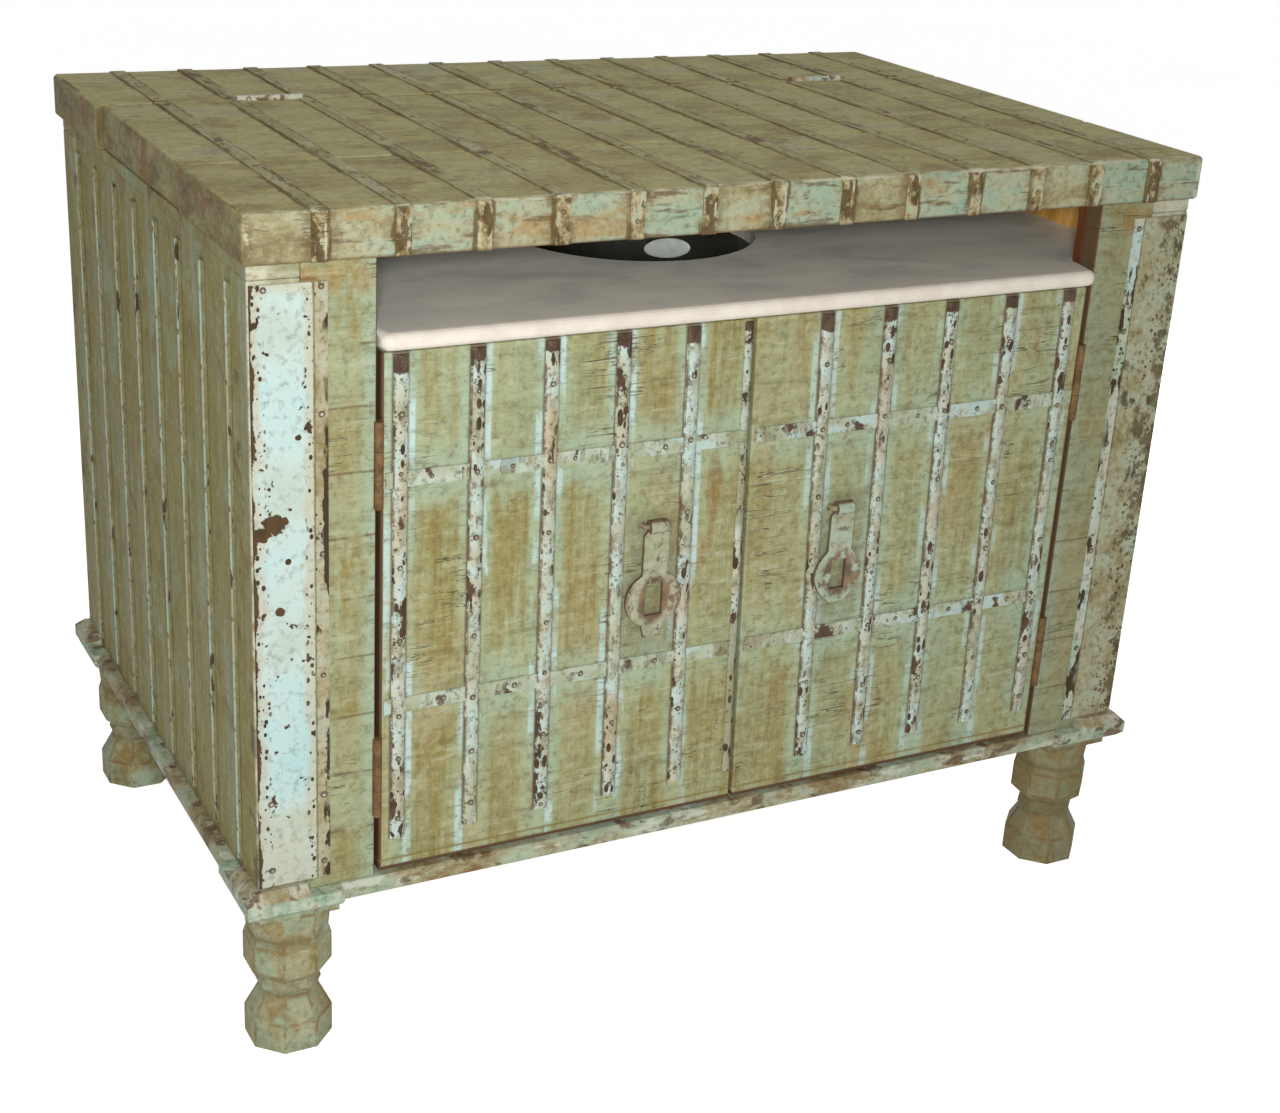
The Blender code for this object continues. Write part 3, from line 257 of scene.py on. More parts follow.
    def dots(self, scale, radius, stretch=(1, 1, 1), shift=(0, 0, 0)):
        """Scattered round spots of mixed sizes: 1 inside a spot and 0 outside."""
        cells = self.add("TexVoronoi", {"Vector": self.placed(stretch, shift), "Scale": scale})
        lot = self.add("SeparateColor", {0: cells.outputs["Color"]})
        spare = self.minus(self.both(lot.outputs[0], radius), cells.outputs["Distance"])
        return self.rise(spare, 0.0, 0.05)

    def done(self, base, roughness, height=None, depth=0.001, metallic=0.0, specular=0.2):
        sockets = self.shader.inputs
        self.feed(sockets["Base Color"], base)
        self.feed(sockets["Roughness"], roughness)
        sockets["Metallic"].default_value = metallic
        sockets["Specular IOR Level"].default_value = specular
        if height is not None:
            bump = self.add("Bump", {"Distance": depth, "Strength": 1.0, "Height": height})
            self.feed(sockets["Normal"], bump.outputs[0])
        return self.material


# Painted boards

def brushed(f, base, along, seed, amount=0.5):
    """Fine brush strokes, lighter and darker, along the grain. Returns the colour and the stroke height."""
    strokes = f.noise(38, 6, along, (seed, seed * 1.7, seed * 0.6), rough=0.75)
    base = f.coat(base, "6D6843", f.rise(strokes, 0.5, 0.68), amount)
    base = f.coat(base, "B4B99A", f.rise(strokes, 0.48, 0.3), amount)
    return weathered(f, base, seed, amount), strokes


def weathered(f, base, seed, amount=0.5):
    """Fine dirt and pale dust over a colour."""
    fine = f.noise(130, shift=(seed, seed * 0.3, seed * 2), rough=0.7)
    base = f.coat(base, DIRT_AND_SHADE, f.rise(fine, 0.5, 0.68), amount)
    return f.coat(base, DUST_AND_HIGHLIGHT, f.rise(fine, 0.48, 0.32), amount * 0.6)


def cracked(f, base, along, seed, share):
    """A few long cracks along the grain, each with a painted highlight beside it. Returns the colour and
    the cracks.
    """
    field = f.noise(5, 3, along, (seed, 0, seed))
    fine = f.noise(12, 4, along, (0, seed, seed), rough=0.6)
    where = f.patches(0.6 - share, 0.66 - share, 9, 2, shift=(seed, seed, 0))
    where_fine = f.patches(0.63 - share, 0.7 - share, 14, 3, shift=(0, seed, seed * 2))
    crack = f.either(f.both(f.near(field, 0.5, 0.007, 0), where),
                     f.both(f.near(fine, 0.5, 0.009, 0), where_fine))
    # Painted highlight: a pale line beside each crack, in the dust colour.
    lip = f.either(f.both(f.near(field, 0.512, 0.009, 0), where),
                   f.both(f.near(fine, 0.518, 0.012, 0), where_fine))
    base = f.coat(base, DUST_AND_HIGHLIGHT, lip, 0.5)
    return f.coat(base, BROWN, crack, 0.7), crack


def lined(f, base, inside, along, dark=INNER_DARK, light=INNER_LIGHT):
    """Bare wood on the faces that look into the cabinet."""
    grain = f.noise(10, 6, along, rough=0.65)
    fibre = f.noise(40, 4, along, (2, 2, 2), rough=0.6)
    wood = f.tones(grain, (0.36, dark), (0.62, light))
    wood = f.coat(wood, dark, f.rise(fibre, 0.5, 0.64), 0.5)
    return f.coat(base, wood, inside)


def leaning_x(f):
    """X on the doors with the lean of the uprights taken out."""
    share = f.math("MAXIMUM", f.minus(1, f.over(f.far(f.x, LEAN_PEAK_X), LEAN_REACH)), 0)
    middle = (DOOR_HEAD + DOOR_FOOT) / 2
    up = f.over(f.minus(f.z, middle), DOOR_HEAD - DOOR_FOOT)
    return f.plus(f.x, f.both(share, up, LEAN))


def band_distance(f):
    return f.math("MINIMUM", f.far(f.z, BAND_HEIGHTS[0]), f.far(f.z, BAND_HEIGHTS[1]))


def plank_paint(f, seed):
    """Sage, beige and grey-green paint in upright smears."""
    smear = f.noise(13, 4, (1.5, 1, 0.34), (seed, 0, seed * 0.7))
    patch = f.noise(6, 3, shift=(seed * 2, 0, seed))
    base = f.tones(smear, (0.38, GREY_SAGE), (0.5, SAGE), (0.64, BEIGE))
    return base, smear, patch


def make_door_planks(side):
    """Between the straps the paint is worn to ochre in the middle and keeps its green at the rim."""
    f = Finish("door_planks_" + side, "door_" + side)
    seed = 3.1 if side == "left" else 8.3
    share = 1.0 if side == "left" else 0.72
    base, _, patch = plank_paint(f, seed)
    upright = leaning_x(f)
    offset = f.row_offset(upright, STRAP_FIRST[side], STRAP_PITCH[side])
    middle = f.rise(f.size(f.x), 0.05, 0.045)
    strap = f.either(f.size(offset), middle)
    column = f.math("FLOOR", f.over(f.minus(upright, STRAP_FIRST[side]), abs(STRAP_PITCH[side])))
    row = f.plus(f.math("GREATER_THAN", f.z, BAND_HEIGHTS[0]), f.math("GREATER_THAN", f.z, BAND_HEIGHTS[1]))
    lot = f.chance(f.plus(column, f.plus(f.both(row, 37), seed)))
    gold = f.plus(0.35 * share, f.both(lot, 0.65 * share))

    ragged = f.minus(f.noise(30, 5, (2.0, 1, 0.22), (seed, 0, 7)), 0.5)
    beside = f.rise(f.plus(strap, f.both(ragged, 0.04)), 0.011, 0.026)
    beyond = f.rise(f.plus(band_distance(f), f.both(ragged, 0.11)), 0.014, 0.048)
    inside = f.both(beside, beyond)
    streak = f.noise(46, 6, (2.2, 1, 0.14), (seed, 0, 4), rough=0.7)
    worn = f.both(inside, gold, f.rise(f.plus(streak, f.both(patch, 0.6)), 0.62, 0.86))
    base = f.coat(base, OCHRE, worn, 0.95)
    deep = f.both(inside, gold, f.rise(streak, 0.5, 0.64), f.rise(patch, 0.4, 0.56))
    base = f.coat(base, OCHRE_DARK, deep, 0.85)
    burnt = f.both(inside, f.patches(0.6, 0.7, 19, 5, (1.6, 1, 0.4), (2, 0, seed)))
    base = f.coat(base, "85602F", burnt, 0.5)

    green = f.patches(0.47, 0.6, 10, 3, (1.5, 1, 0.7), (seed, 4, 0))
    rim = f.either(f.rise(strap, 0.024, 0.01), f.both(f.rise(band_distance(f), 0.045, 0.012), 0.9))
    base = f.coat(base, AQUA, rim, green, 0.55)
    broken = f.patches(0.38, 0.52, 34, 4, (1, 1, 0.35), (seed, 0, 7))
    right_zone = f.patches(0.48, 0.55, 11, 2, (1.2, 1, 0.8), (seed, 1, 0))
    left_zone = f.patches(0.49, 0.56, 11, 2, (1.2, 1, 0.8), (0, 1, seed))
    beside_right = f.both(f.near(offset, 0.011, 0.0056, 0.003), right_zone, broken)
    beside_left = f.both(f.near(offset, -0.0115, 0.006, 0.003), left_zone, broken)
    away = f.minus(1, middle)
    base = f.coat(base, "B6CDC8", beside_right, away, 0.95 * share)
    base = f.coat(base, "B2CCC2", beside_left, away, 0.9 * share)

    # Painted shadow and dirt on the door round the hasp.
    hasp_x, hasp_z = HASPS[side]
    from_hasp = f.math("MAXIMUM", f.both(f.far(f.x, hasp_x), 1.25),
                       f.both(f.far(f.z, hasp_z + 0.012), 0.52))
    hasp_shadow_and_dirt = f.rise(f.plus(from_hasp, f.both(ragged, 0.02)), 0.05, 0.034)
    base = f.coat(base, DIRT_AND_SHADE, hasp_shadow_and_dirt, 0.35)
    base, strokes = brushed(f, base, (0.35, 1, 2.4), seed, 0.55)
    base, crack = cracked(f, base, (0.8, 1, 13.0), seed, 0.02)
    strap_margin = f.both(f.rise(strap, 0.0105, 0.0076), f.rise(f.z, STRAP_FOOT - 0.002, STRAP_FOOT + 0.002))
    base = f.coat(base, BROWN, strap_margin, 0.7)
    gap = f.either(f.rise(f.size(f.x), DOOR_OUTER - 0.0034, DOOR_OUTER - 0.002),
                   f.rise(f.z, DOOR_FOOT + 0.0055, DOOR_FOOT + 0.003))
    base = f.coat(base, GAP_BROWN, gap)
    sill = f.both(f.near(f.z, DOOR_FOOT + 0.0115, 0.0022, 0.0006), f.rise(patch, 0.38, 0.5))
    base = f.coat(base, OCHRE_DARK, sill, 0.7)
    base = lined(f, base, f.rise(f.turned_y, 0.5, 0.8), (6, 6, 0.4))
    f.done(base, 0.68, f.minus(strokes, crack), 0.0016)


def make_stile_planks():
    f = Finish("stile_planks", "stile_")
    base, smear, patch = plank_paint(f, 5.9)
    inside = f.near(f.size(f.x), STILE_MIDDLE, 0.022, 0.004)
    streak = f.noise(40, 6, (1.6, 1, 0.25), (3, 0, 4), rough=0.7)
    side = f.both(f.math("GREATER_THAN", f.x, 0), 41)
    level = f.plus(f.z, f.both(f.minus(patch, 0.5), 0.012))
    block = f.chance(f.plus(side, f.math("FLOOR", f.over(level, STILE_BLOCK))))
    ochre_block = f.both(f.rise(block, 0.52, 0.6), f.near(f.size(f.x), STILE_MIDDLE, 0.03, 0.012))
    base = f.coat(base, OCHRE, ochre_block, f.rise(streak, 0.36, 0.6), 0.75)
    base = f.coat(base, OCHRE, inside, f.rise(patch, 0.46, 0.62), f.rise(streak, 0.4, 0.6), 0.85)
    base = f.coat(base, ORANGE, f.near(f.z, STILE_STAIN, 0.02, 0.006), f.rise(smear, 0.36, 0.5), 0.7)
    base = f.coat(base, AQUA, f.rise(f.size(f.x), 0.442, 0.424), f.rise(smear, 0.42, 0.54), 0.7)
    base, strokes = brushed(f, base, (0.35, 1, 2.4), 2.2, 0.55)
    base, crack = cracked(f, base, (0.8, 1, 13.0), 7.7, 0.02)
    joint = f.rise(f.size(f.row_offset(level, 0.0, STILE_BLOCK)), 0.002, 0.0005)
    base = f.coat(base, BROWN, joint, f.rise(smear, 0.44, 0.54), 0.6)
    base = f.coat(base, GAP_BROWN, f.rise(f.size(f.x), STILE_INNER + 0.0016, STILE_INNER + 0.0006))
    # Dirt over both stiles, with painted shade added on the right-hand stile.
    base = f.coat(base, DIRT_AND_SHADE, f.plus(0.1, f.both(f.rise(f.x, 0.3, 0.4), 0.2)))
    base = lined(f, base, f.rise(f.turned_y, 0.5, 0.8), (6, 6, 0.4))
    f.done(base, 0.68, f.minus(strokes, crack), 0.0016)


def make_lid_planks():
    """Olive boards; the straps across them are nearly as dull, but for their rims of rust and painted
    shadow, and their flecks.
    """
    f = Finish("lid_planks", "lid_", "rear_top")
    aside = f.size(f.row_offset(f.x, LID_STRAP_MIDDLE, LID_STRAP_PITCH))
    between = f.math("FLOOR", f.over(f.minus(f.x, LID_STRAP_MIDDLE), LID_STRAP_PITCH))
    block = f.chance(f.plus(between, f.both(f.math("ROUND", f.both(f.y, 3.2)), 17)))
    smear = f.noise(9, 5, (0.7, 1.6, 1), (8, 0, 0))
    tint = f.plus(smear, f.both(f.minus(block, 0.5), 0.16))
    base = f.tones(tint, (0.34, "8F8658"), (0.46, "A29A66"), (0.56, "A9A270"), (0.68, "9D9C79"))
    base = f.coat(base, "7E6F45", f.patches(0.54, 0.66, 17, 5, shift=(3, 1, 0)), 0.7)
    base, strokes = brushed(f, base, (0.5, 2.2, 2.2), 4.4, 0.45)

    edge = f.rise(f.size(f.y), LID_FACE - 0.0045, LID_FACE - 0.0015)
    leftward = f.rise(f.x, -0.4, -0.46)
    mottle = f.noise(26, 6, (0.6, 1, 1.4), rough=0.7)
    mottle = f.plus(mottle, f.plus(f.both(f.minus(block, 0.5), 0.15), f.both(leftward, 0.19)))
    mottle = f.minus(mottle, f.both(f.plus(f.rise(f.x, 0.1, 0.4), f.rise(f.x, 0.49, 0.51)), 0.07))
    face = f.tones(mottle, (0.32, "8EA28B"), (0.42, "9AA58A"), (0.52, "A3A284"), (0.62, "979069"),
                   (0.72, "7F7350"))
    scorch = f.noise(17, 5, (0.5, 1, 1.8), (2, 0, 5))
    scorch = f.plus(scorch, f.both(f.rise(f.x, 0, -0.4), 0.06))
    face = f.coat(face, ORANGE, f.rise(scorch, 0.56, 0.66), 0.6)
    dash = f.noise(34, 6, (0.35, 1, 2.2), (6, 0, 1), rough=0.65)
    face = f.coat(face, BROWN, f.rise(dash, 0.55, 0.63), 0.75)
    face = f.coat(face, "6F5C3C", f.rise(aside, 0.024, 0.009), f.rise(mottle, 0.42, 0.55), 0.7)
    face = weathered(f, face, 3.7, 0.6)
    base = f.coat(base, face, edge)

    proud = f.either(f.rise(f.z, LID_TOP + 0.0003, LID_TOP + 0.001),
                     f.rise(f.size(f.y), LID_FACE + 0.0003, LID_FACE + 0.001))
    on_strap = f.both(proud, f.rise(aside, LID_STRAP_HALF + 0.0008, LID_STRAP_HALF + 0.0002))
    tone = f.noise(14, 5, shift=(0, 3, 0))
    top_strap = f.tones(tone, (0.4, "8C8457"), (0.54, "9A9368"), (0.64, "A5A07C"))
    folded = f.noise(75, 5, (1, 1, 0.8), (5, 0, 0), rough=0.65)
    edge_strap = f.tones(folded, (0.36, "9AA98F"), (0.45, "AFA582"), (0.53, "8A7850"), (0.62, "57452B"))
    strap = weathered(f, f.mix(edge, top_strap, edge_strap), 1.4, 0.7)
    flakes = f.patches(0.54, 0.57, 46, 5, (1.2, 0.45, 0.6), (4, 0, 2), rough=0.6)
    zone = f.patches(0.5, 0.58, 8, 2, shift=(1, 5, 0))
    strap = f.coat(strap, "4E3B1F", flakes, f.either(zone, edge), 0.85)
    base = f.coat(base, strap, on_strap)

    # Painted shadow and rust in a ragged dark line along the borders of the straps.
    broken = f.noise(22, 5, (2, 0.4, 0.7), (0, 2, 0))
    wander = f.plus(aside, f.both(f.minus(f.noise(60, shift=(1, 3, 0)), 0.5), 0.007))
    rust_and_shadow_border = f.both(f.near(wander, LID_STRAP_HALF + 0.0006, 0.0036, 0.0012), f.rise(broken, 0.45, 0.55))
    base = f.coat(base, "57431F", rust_and_shadow_border, 0.8)
    fleck = f.both(f.near(aside, LID_STRAP_HALF - 0.0025, 0.0018, 0.0006),
                   f.patches(0.56, 0.62, 34, 5, (2, 0.35, 1), (7, 0, 0)))
    base = f.coat(base, CREAM, fleck, proud, 0.8)
    end_tone = f.tones(f.noise(24, 6, (1, 0.6, 1.5), rough=0.7), (0.34, "57492C"), (0.46, "776C44"),
                       (0.56, "8B8459"), (0.68, "9B9470"))
    end_tone = f.coat(end_tone, "7D5C33", f.patches(0.58, 0.68, 12, shift=(0, 4, 4)))
    base = f.coat(base, weathered(f, end_tone, 5.1, 0.6), f.rise(f.size(f.turned_x), 0.6, 0.8))
    # Painted shade on the faces that step forward at the joints of the boards.
    seam_and_painted_light = f.both(f.rise(f.size(f.turned_y), 0.6, 0.8),
                  f.rise(f.size(f.y), LID_FACE - 0.01, LID_FACE - 0.015))
    base = f.coat(base, "5A4D31", seam_and_painted_light, 0.75)
    base, crack = cracked(f, base, (0.8, 11.0, 11.0), 2.9, 0.0)
    base = f.coat(base, BROWN, f.rise(f.z, LID_FOOT + 0.004, LID_FOOT + 0.0005), 0.7)
    corner = f.either(f.near(f.size(f.x), LID_CORNER_X, 0.0035, 0.0008),
                      f.near(f.z, LID_TOP, 0.003, 0.0008))
    chipped = f.both(corner, f.rise(f.size(f.y), LID_FACE - 0.01, LID_FACE - 0.003),
                     f.rise(strokes, 0.52, 0.46))
    base = f.coat(base, "C6C3A6", chipped, 0.7)
    base = lined(f, base, f.rise(f.turned_z, -0.5, -0.8), (0.4, 6, 6))
    f.done(base, 0.7, f.minus(strokes, crack), 0.0018)


def side_boards(f, seed):
    """Olive-brown paint that turns greyer towards one edge of each board."""
    offset = f.row_offset(f.y, SIDE_STRAP_PITCH / 2, SIDE_STRAP_PITCH)
    smear = f.noise(11, 4, (1, 1.6, 0.35), (0, seed, 0))
    tint = f.plus(smear, f.both(offset, 2.6))
    base = f.tones(tint, (0.34, "837A47"), (0.46, "88814F"), (0.58, "8B8860"), (0.68, "8F9072"))
    base = f.coat(base, "745F38", f.patches(0.56, 0.66, 20, shift=(0, 2, seed)), 0.6)
    base = f.coat(base, "93A084", f.patches(0.56, 0.68, 9, shift=(0, 6, seed)), 0.6)
    base, strokes = brushed(f, base, (1, 1.6, 0.6), seed, 0.4)
    return base, strokes, offset


def make_side_planks():
    f = Finish("side_planks", "side_panel")
    base, strokes, offset = side_boards(f, 1.3)
    # Painted shade along both sides of each strap, below the strap heads.
    strap_margin = f.both(f.rise(f.size(offset), 0.0125, 0.0072),
                   f.rise(f.z, SIDE_STRAP_HEAD + 0.001, SIDE_STRAP_HEAD - 0.001))
    base = f.coat(base, CHIP, strap_margin, 0.42)
    proud = f.rise(f.size(f.x), SIDE_FACE + 0.0006, SIDE_FACE + 0.0014)
    tone = f.noise(8, 4, (1, 1.4, 0.6), (0, 4, 0))
    strap = f.tones(tone, (0.34, "A5A081"), (0.42, "C6BCA2"), (0.5, "B3D3C4"), (0.58, "BDBBA2"),
                    (0.68, "AFA888"))
    # Painted shade on the flanks of each strap, which leaves a painted highlight along a line near its
    # middle.
    strap = f.coat(strap, "7E784F", f.near(offset, 0.001, 0.0027, 0.0058))
    strap = weathered(f, strap, 2.6, 0.7)
    specks = f.dots(130, 0.42, (1, 1.4, 0.55), (0, 0, 3))
    zone = f.patches(0.42, 0.5, 6, 3, shift=(0, 0, 8))
    flakes = f.patches(0.615, 0.66, 60, 4, (1, 1, 0.4), (0, 0, 3))
    strap = f.coat(strap, CHIP, f.either(f.both(specks, zone), flakes))
    base = f.coat(base, strap, proud)
    inside = f.rise(f.size(f.x), SIDE_INNER + 0.001, SIDE_INNER - 0.001)
    base = lined(f, base, inside, (6, 6, 0.6), "B07C35", "DEAC5E")
    f.done(base, 0.72, strokes, 0.0014)


def make_post_paint():
    f = Finish("post_paint", "post_", "top_rail")
    base, strokes, _ = side_boards(f, 6.4)
    tone = f.noise(28, 6, (0.7, 1, 1.2), rough=0.7)
    face = f.tones(tone, (0.34, "7F8160"), (0.46, "A2A083"), (0.56, "BDBBA6"), (0.66, "8F7D59"))
    base = f.coat(base, face, f.rise(f.y, BODY_FRONT + 0.005, BODY_FRONT + 0.0015))
    dull = f.patches(0.58, 0.66, 30, 5, shift=(3, 0, 0))
    base = f.coat(base, CHIP, dull, 0.6)
    f.done(base, 0.74, strokes, 0.001)


def make_leg_paint():
    """Each carved facet takes its own tint; its edges are worn to brown wood beside a painted highlight of
    pale colour.
    """
    f = Finish("leg_paint", "leg_")
    facet = f.add("TexNoise", {"Vector": f.facing, "Scale": 2.3, "Detail": 1.0})
    smear = f.noise(24, 5, shift=(1, 4, 0))
    tint = f.plus(f.both(facet.outputs["Fac"], 0.55), f.both(smear, 0.45))
    base = f.tones(tint, (0.36, "808667"), (0.45, "8E977A"), (0.52, "999776"), (0.6, "8E8056"))
    ochre = f.patches(0.54, 0.66, 17, 5, (1.4, 1.4, 0.7), (2, 0, 6))
    base = f.coat(base, "81703D", ochre, 0.8)
    base = f.coat(base, AQUA, f.patches(0.54, 0.66, 22, 5, shift=(9, 0, 3)), 0.7)
    base, strokes = brushed(f, base, (1.2, 1.2, 1.0), 6.6, 0.5)

    across = f.minus(f.size(f.x), LEG_X)
    along = f.minus(f.size(f.y), LEG_Y)
    around = f.over(f.math("ARCTAN2", along, across), pi / 4)
    corner = f.far(f.size(f.minus(around, f.math("ROUND", around))), 0.5)
    seam_and_painted_light = f.rise(corner, 0.09, 0.01)
    for level in LEG_RINGS:
        seam_and_painted_light = f.either(seam_and_painted_light, f.near(f.z, level, 0.0036, 0.0004))
    below = f.rise(f.z, LEG_HEAD, LEG_HEAD - 0.002)
    worn = f.noise(40, 6, shift=(5, 0, 2), rough=0.65)
    # Painted highlights of pale colour along the edges and rings; brown wood where the paint is worn off
    # them.
    base = f.coat(base, "A8AD91", seam_and_painted_light, below, f.rise(worn, 0.46, 0.34), 0.7)
    base = f.coat(base, "7A5B32", seam_and_painted_light, below, f.rise(worn, 0.44, 0.58), 0.7)

    # Painted shade on the right-hand legs.
    base = f.coat(base, "68562E", f.rise(f.x, 0.2, 0.4), 0.5)
    # Painted shade and dirt in the hollows of the waist and neck.
    hollow_shade_and_dirt = f.either(f.near(f.z, LEG_WAIST, 0.02, 0.004), f.near(f.z, LEG_NECK, 0.01, 0.002))
    base = f.coat(base, "66603F", hollow_shade_and_dirt, f.rise(smear, 0.36, 0.56), 0.5)
    head = f.rise(f.z, LEG_HEAD - 0.0005, LEG_HEAD + 0.0005)
    band = f.tones(worn, (0.34, "84A08C"), (0.46, "98AC94"), (0.56, "B9C0AC"), (0.66, BROWN))
    slope = f.tones(worn, (0.36, "8A7A55"), (0.48, "A2977A"), (0.58, "BFC0AC"), (0.68, BROWN))
    band = f.coat(band, slope, f.rise(f.z, LEG_SLOPE, LEG_SLOPE + 0.0015))
    base = f.coat(base, weathered(f, band, 8.8, 0.6), head, 0.85)
    rust = f.patches(0.58, 0.63, 48, 6, (0.7, 0.7, 1.2), (2, 0, 1))
    base = f.coat(base, BROWN, rust, head, 0.8)
    f.done(base, 0.68, f.minus(strokes, f.both(seam_and_painted_light, 0.5)), 0.0014)


def make_rail_paint():
    f = Finish("rail_paint", "base_rail")
    tone = f.noise(18, 6, (0.7, 0.7, 1.6), rough=0.68)
    base = f.tones(tone, (0.32, "879677"), (0.42, "9CAB92"), (0.5, "A29E82"), (0.58, "897A54"),
                   (0.68, "705539"))
    pale = f.both(f.patches(0.55, 0.62, 30, 5, (0.6, 0.6, 2), (1, 6, 0)), 0.8)
    base = f.coat(base, "C0C5B4", pale)
    bare = f.patches(0.56, 0.62, 26, 6, (0.7, 0.7, 1.4), (4, 2, 0))
    spots = f.patches(0.6, 0.64, 60, 5, (0.6, 0.6, 1.2), (3, 0, 0))
    base = f.coat(base, BROWN, f.either(bare, spots), 0.85)
    base, strokes = brushed(f, base, (0.6, 0.6, 2.0), 9.2, 0.5)
    f.done(base, 0.7, f.minus(strokes, bare), 0.0016)


# Iron

def make_door_straps(side):
    """Pale iron with oval chips, and dull bands between the straps."""
    f = Finish("door_straps_" + side, "door_" + side + "_straps")
    seed = 1.9 if side == "left" else 6.2
    offset = f.row_offset(leaning_x(f), STRAP_FIRST[side], STRAP_PITCH[side])
    strap = f.size(offset)
    tone = f.noise(9, 4, (2.2, 1, 0.9), (seed, 0, 0))
    base = f.tones(tone, (0.33, "99A086"), (0.42, "B0B29A"), (0.5, "B2C6BE"), (0.58, "B3B4A2"),
                   (0.68, "AA9F82"))
    grime = f.noise(80, 6, (1, 1, 0.6), (0, 0, seed), rough=0.75)
    base = f.coat(base, "817D5F", f.rise(grime, 0.48, 0.64), 0.75)
    base = weathered(f, base, seed, 0.8)

    zone = f.noise(9, 4, (2.2, 1, 1), (0, 2, seed))
    specks = f.dots(210, 0.36, shift=(seed, 0, 2))
    ovals = f.dots(100, 0.46, (1.3, 1, 0.6), (0, 3, seed))
    flakes = f.patches(0.575, 0.6, 48, 5, (1, 1, 0.5), (0, 0, seed * 3), rough=0.6)
    chips = f.either(f.both(ovals, f.rise(zone, 0.44, 0.52)), f.both(flakes, f.rise(zone, 0.49, 0.54)))
    chips = f.either(chips, f.both(specks, f.rise(zone, 0.36, 0.5), 0.8))

    on_band = f.both(f.rise(strap, STRAP_HALF, STRAP_HALF + 0.0008),
                     f.rise(band_distance(f), BAND_HALF + 0.001, BAND_HALF))
    band_tone = f.noise(11, 4, (1.6, 1, 1), (seed * 2, 0, 1))
    band = f.tones(band_tone, (0.34, "8E9875"), (0.46, "9CA287"), (0.55, "B2BDAC"), (0.66, "988D6C"))
    band = weathered(f, band, seed, 0.7)
    band_pale = f.patches(0.54, 0.6, 16, 3, shift=(0, 5, seed))
    band = f.coat(band, PALE_BLUE, band_pale, 0.8)
    band_rust = f.both(f.patches(0.54, 0.58, 34, 5, shift=(0, 0, seed), rough=0.6),
                       f.rise(band_tone, 0.48, 0.54))
    band = f.coat(band, "4F3C2C", band_rust)
    base = f.coat(base, band, on_band)

    meeting = f.both(f.rise(f.size(f.x), 0.04, 0.03), f.rise(tone, 0.56, 0.48))
    base = f.coat(base, "8A8464", meeting, 0.75)
    off_band = f.minus(1, on_band)
    # Painted shadow along the edges of each strap, stronger on the left.
    left_shadow_edge = f.near(offset, -0.0069, 0.0018, 0.0004)
    right_shadow_edge = f.both(f.near(offset, 0.0071, 0.0014, 0.0004), 0.6)
    rim = f.both(f.either(left_shadow_edge, right_shadow_edge), f.rise(grime, 0.42, 0.52), off_band)
    base = f.coat(base, BROWN, rim, 0.8)
    bare = f.mix(f.rise(grime, 0.4, 0.6), CHIP, "564130")
    base = f.coat(base, bare, chips, f.minus(1, f.both(on_band, 0.7)))
    length = f.plus(DOOR_HEAD - 0.036, f.both(f.noise(9, 1, (1, 1, 0.01), (seed, 0, 0)), 0.04))
    top = f.rise(f.plus(f.minus(f.z, length), f.both(f.minus(grime, 0.5), 0.012)), -0.001, 0.0008)
    base = f.coat(base, f.mix(f.rise(grime, 0.42, 0.6), "403123", "5E4C3C"), top)
    rough = f.plus(0.5, f.both(chips, 0.3))
    f.done(base, rough, f.minus(f.both(grime, 0.8), chips), 0.0012)


def make_left_plate():
    """Pale blue paint, creamy and chipped along its margins, with one large rust blot."""
    f = Finish("corner_plate_left", "corner_plate_left")
    tone = f.noise(10, 5, shift=(2, 0, 1))
    base = f.tones(tone, (0.34, "A3C4C3"), (0.48, "AFC8C5"), (0.58, "B6C7C1"), (0.68, "AFBDB0"))
    from_edge = f.minus(f.x, -PLATE_OUTER)
    ragged = f.noise(26, 6, (1, 1, 0.7), (6, 0, 2), rough=0.65)
    cream = f.rise(f.minus(from_edge, f.both(ragged, 0.044)), -0.008, -0.018)
    inner = f.rise(f.plus(from_edge, f.both(ragged, 0.03)), 0.062, 0.07)
    top = f.rise(f.plus(f.z, f.both(ragged, 0.05)), 0.836, 0.85)
    foot = f.rise(f.minus(f.z, f.both(ragged, 0.14)), 0.235, 0.165)
    stain = f.either(cream, inner, top, foot)
    base = f.coat(base, f.mix(tone, "BBB59C", "ABA184"), stain, 0.65)
    base = weathered(f, base, 4.1, 0.4)

    margin = f.either(f.rise(from_edge, 0.024, 0.004), f.rise(from_edge, 0.044, 0.058))
    specks = f.both(f.dots(190, 0.44, (1, 1, 0.7), (1, 0, 3)), f.rise(f.plus(margin, ragged), 0.9, 1.2))
    clusters = f.rise(f.plus(f.noise(60, shift=(3, 0, 2)), f.both(margin, 0.05)), 0.655, 0.68)
    edge = f.rise(f.minus(from_edge, f.both(f.minus(ragged, 0.47), 0.022)), 0.002, 0.0006)
    chips = f.either(specks, clusters, edge, *[f.blot(*blot) for blot in PLATE_BLOTS])
    bare = f.mix(f.rise(ragged, 0.44, 0.62), CHIP, "513B24")
    base = f.coat(base, bare, chips)
    rough = f.plus(0.45, f.both(chips, 0.35))
    f.done(base, rough, f.minus(f.both(ragged, 0.6), chips), 0.001)


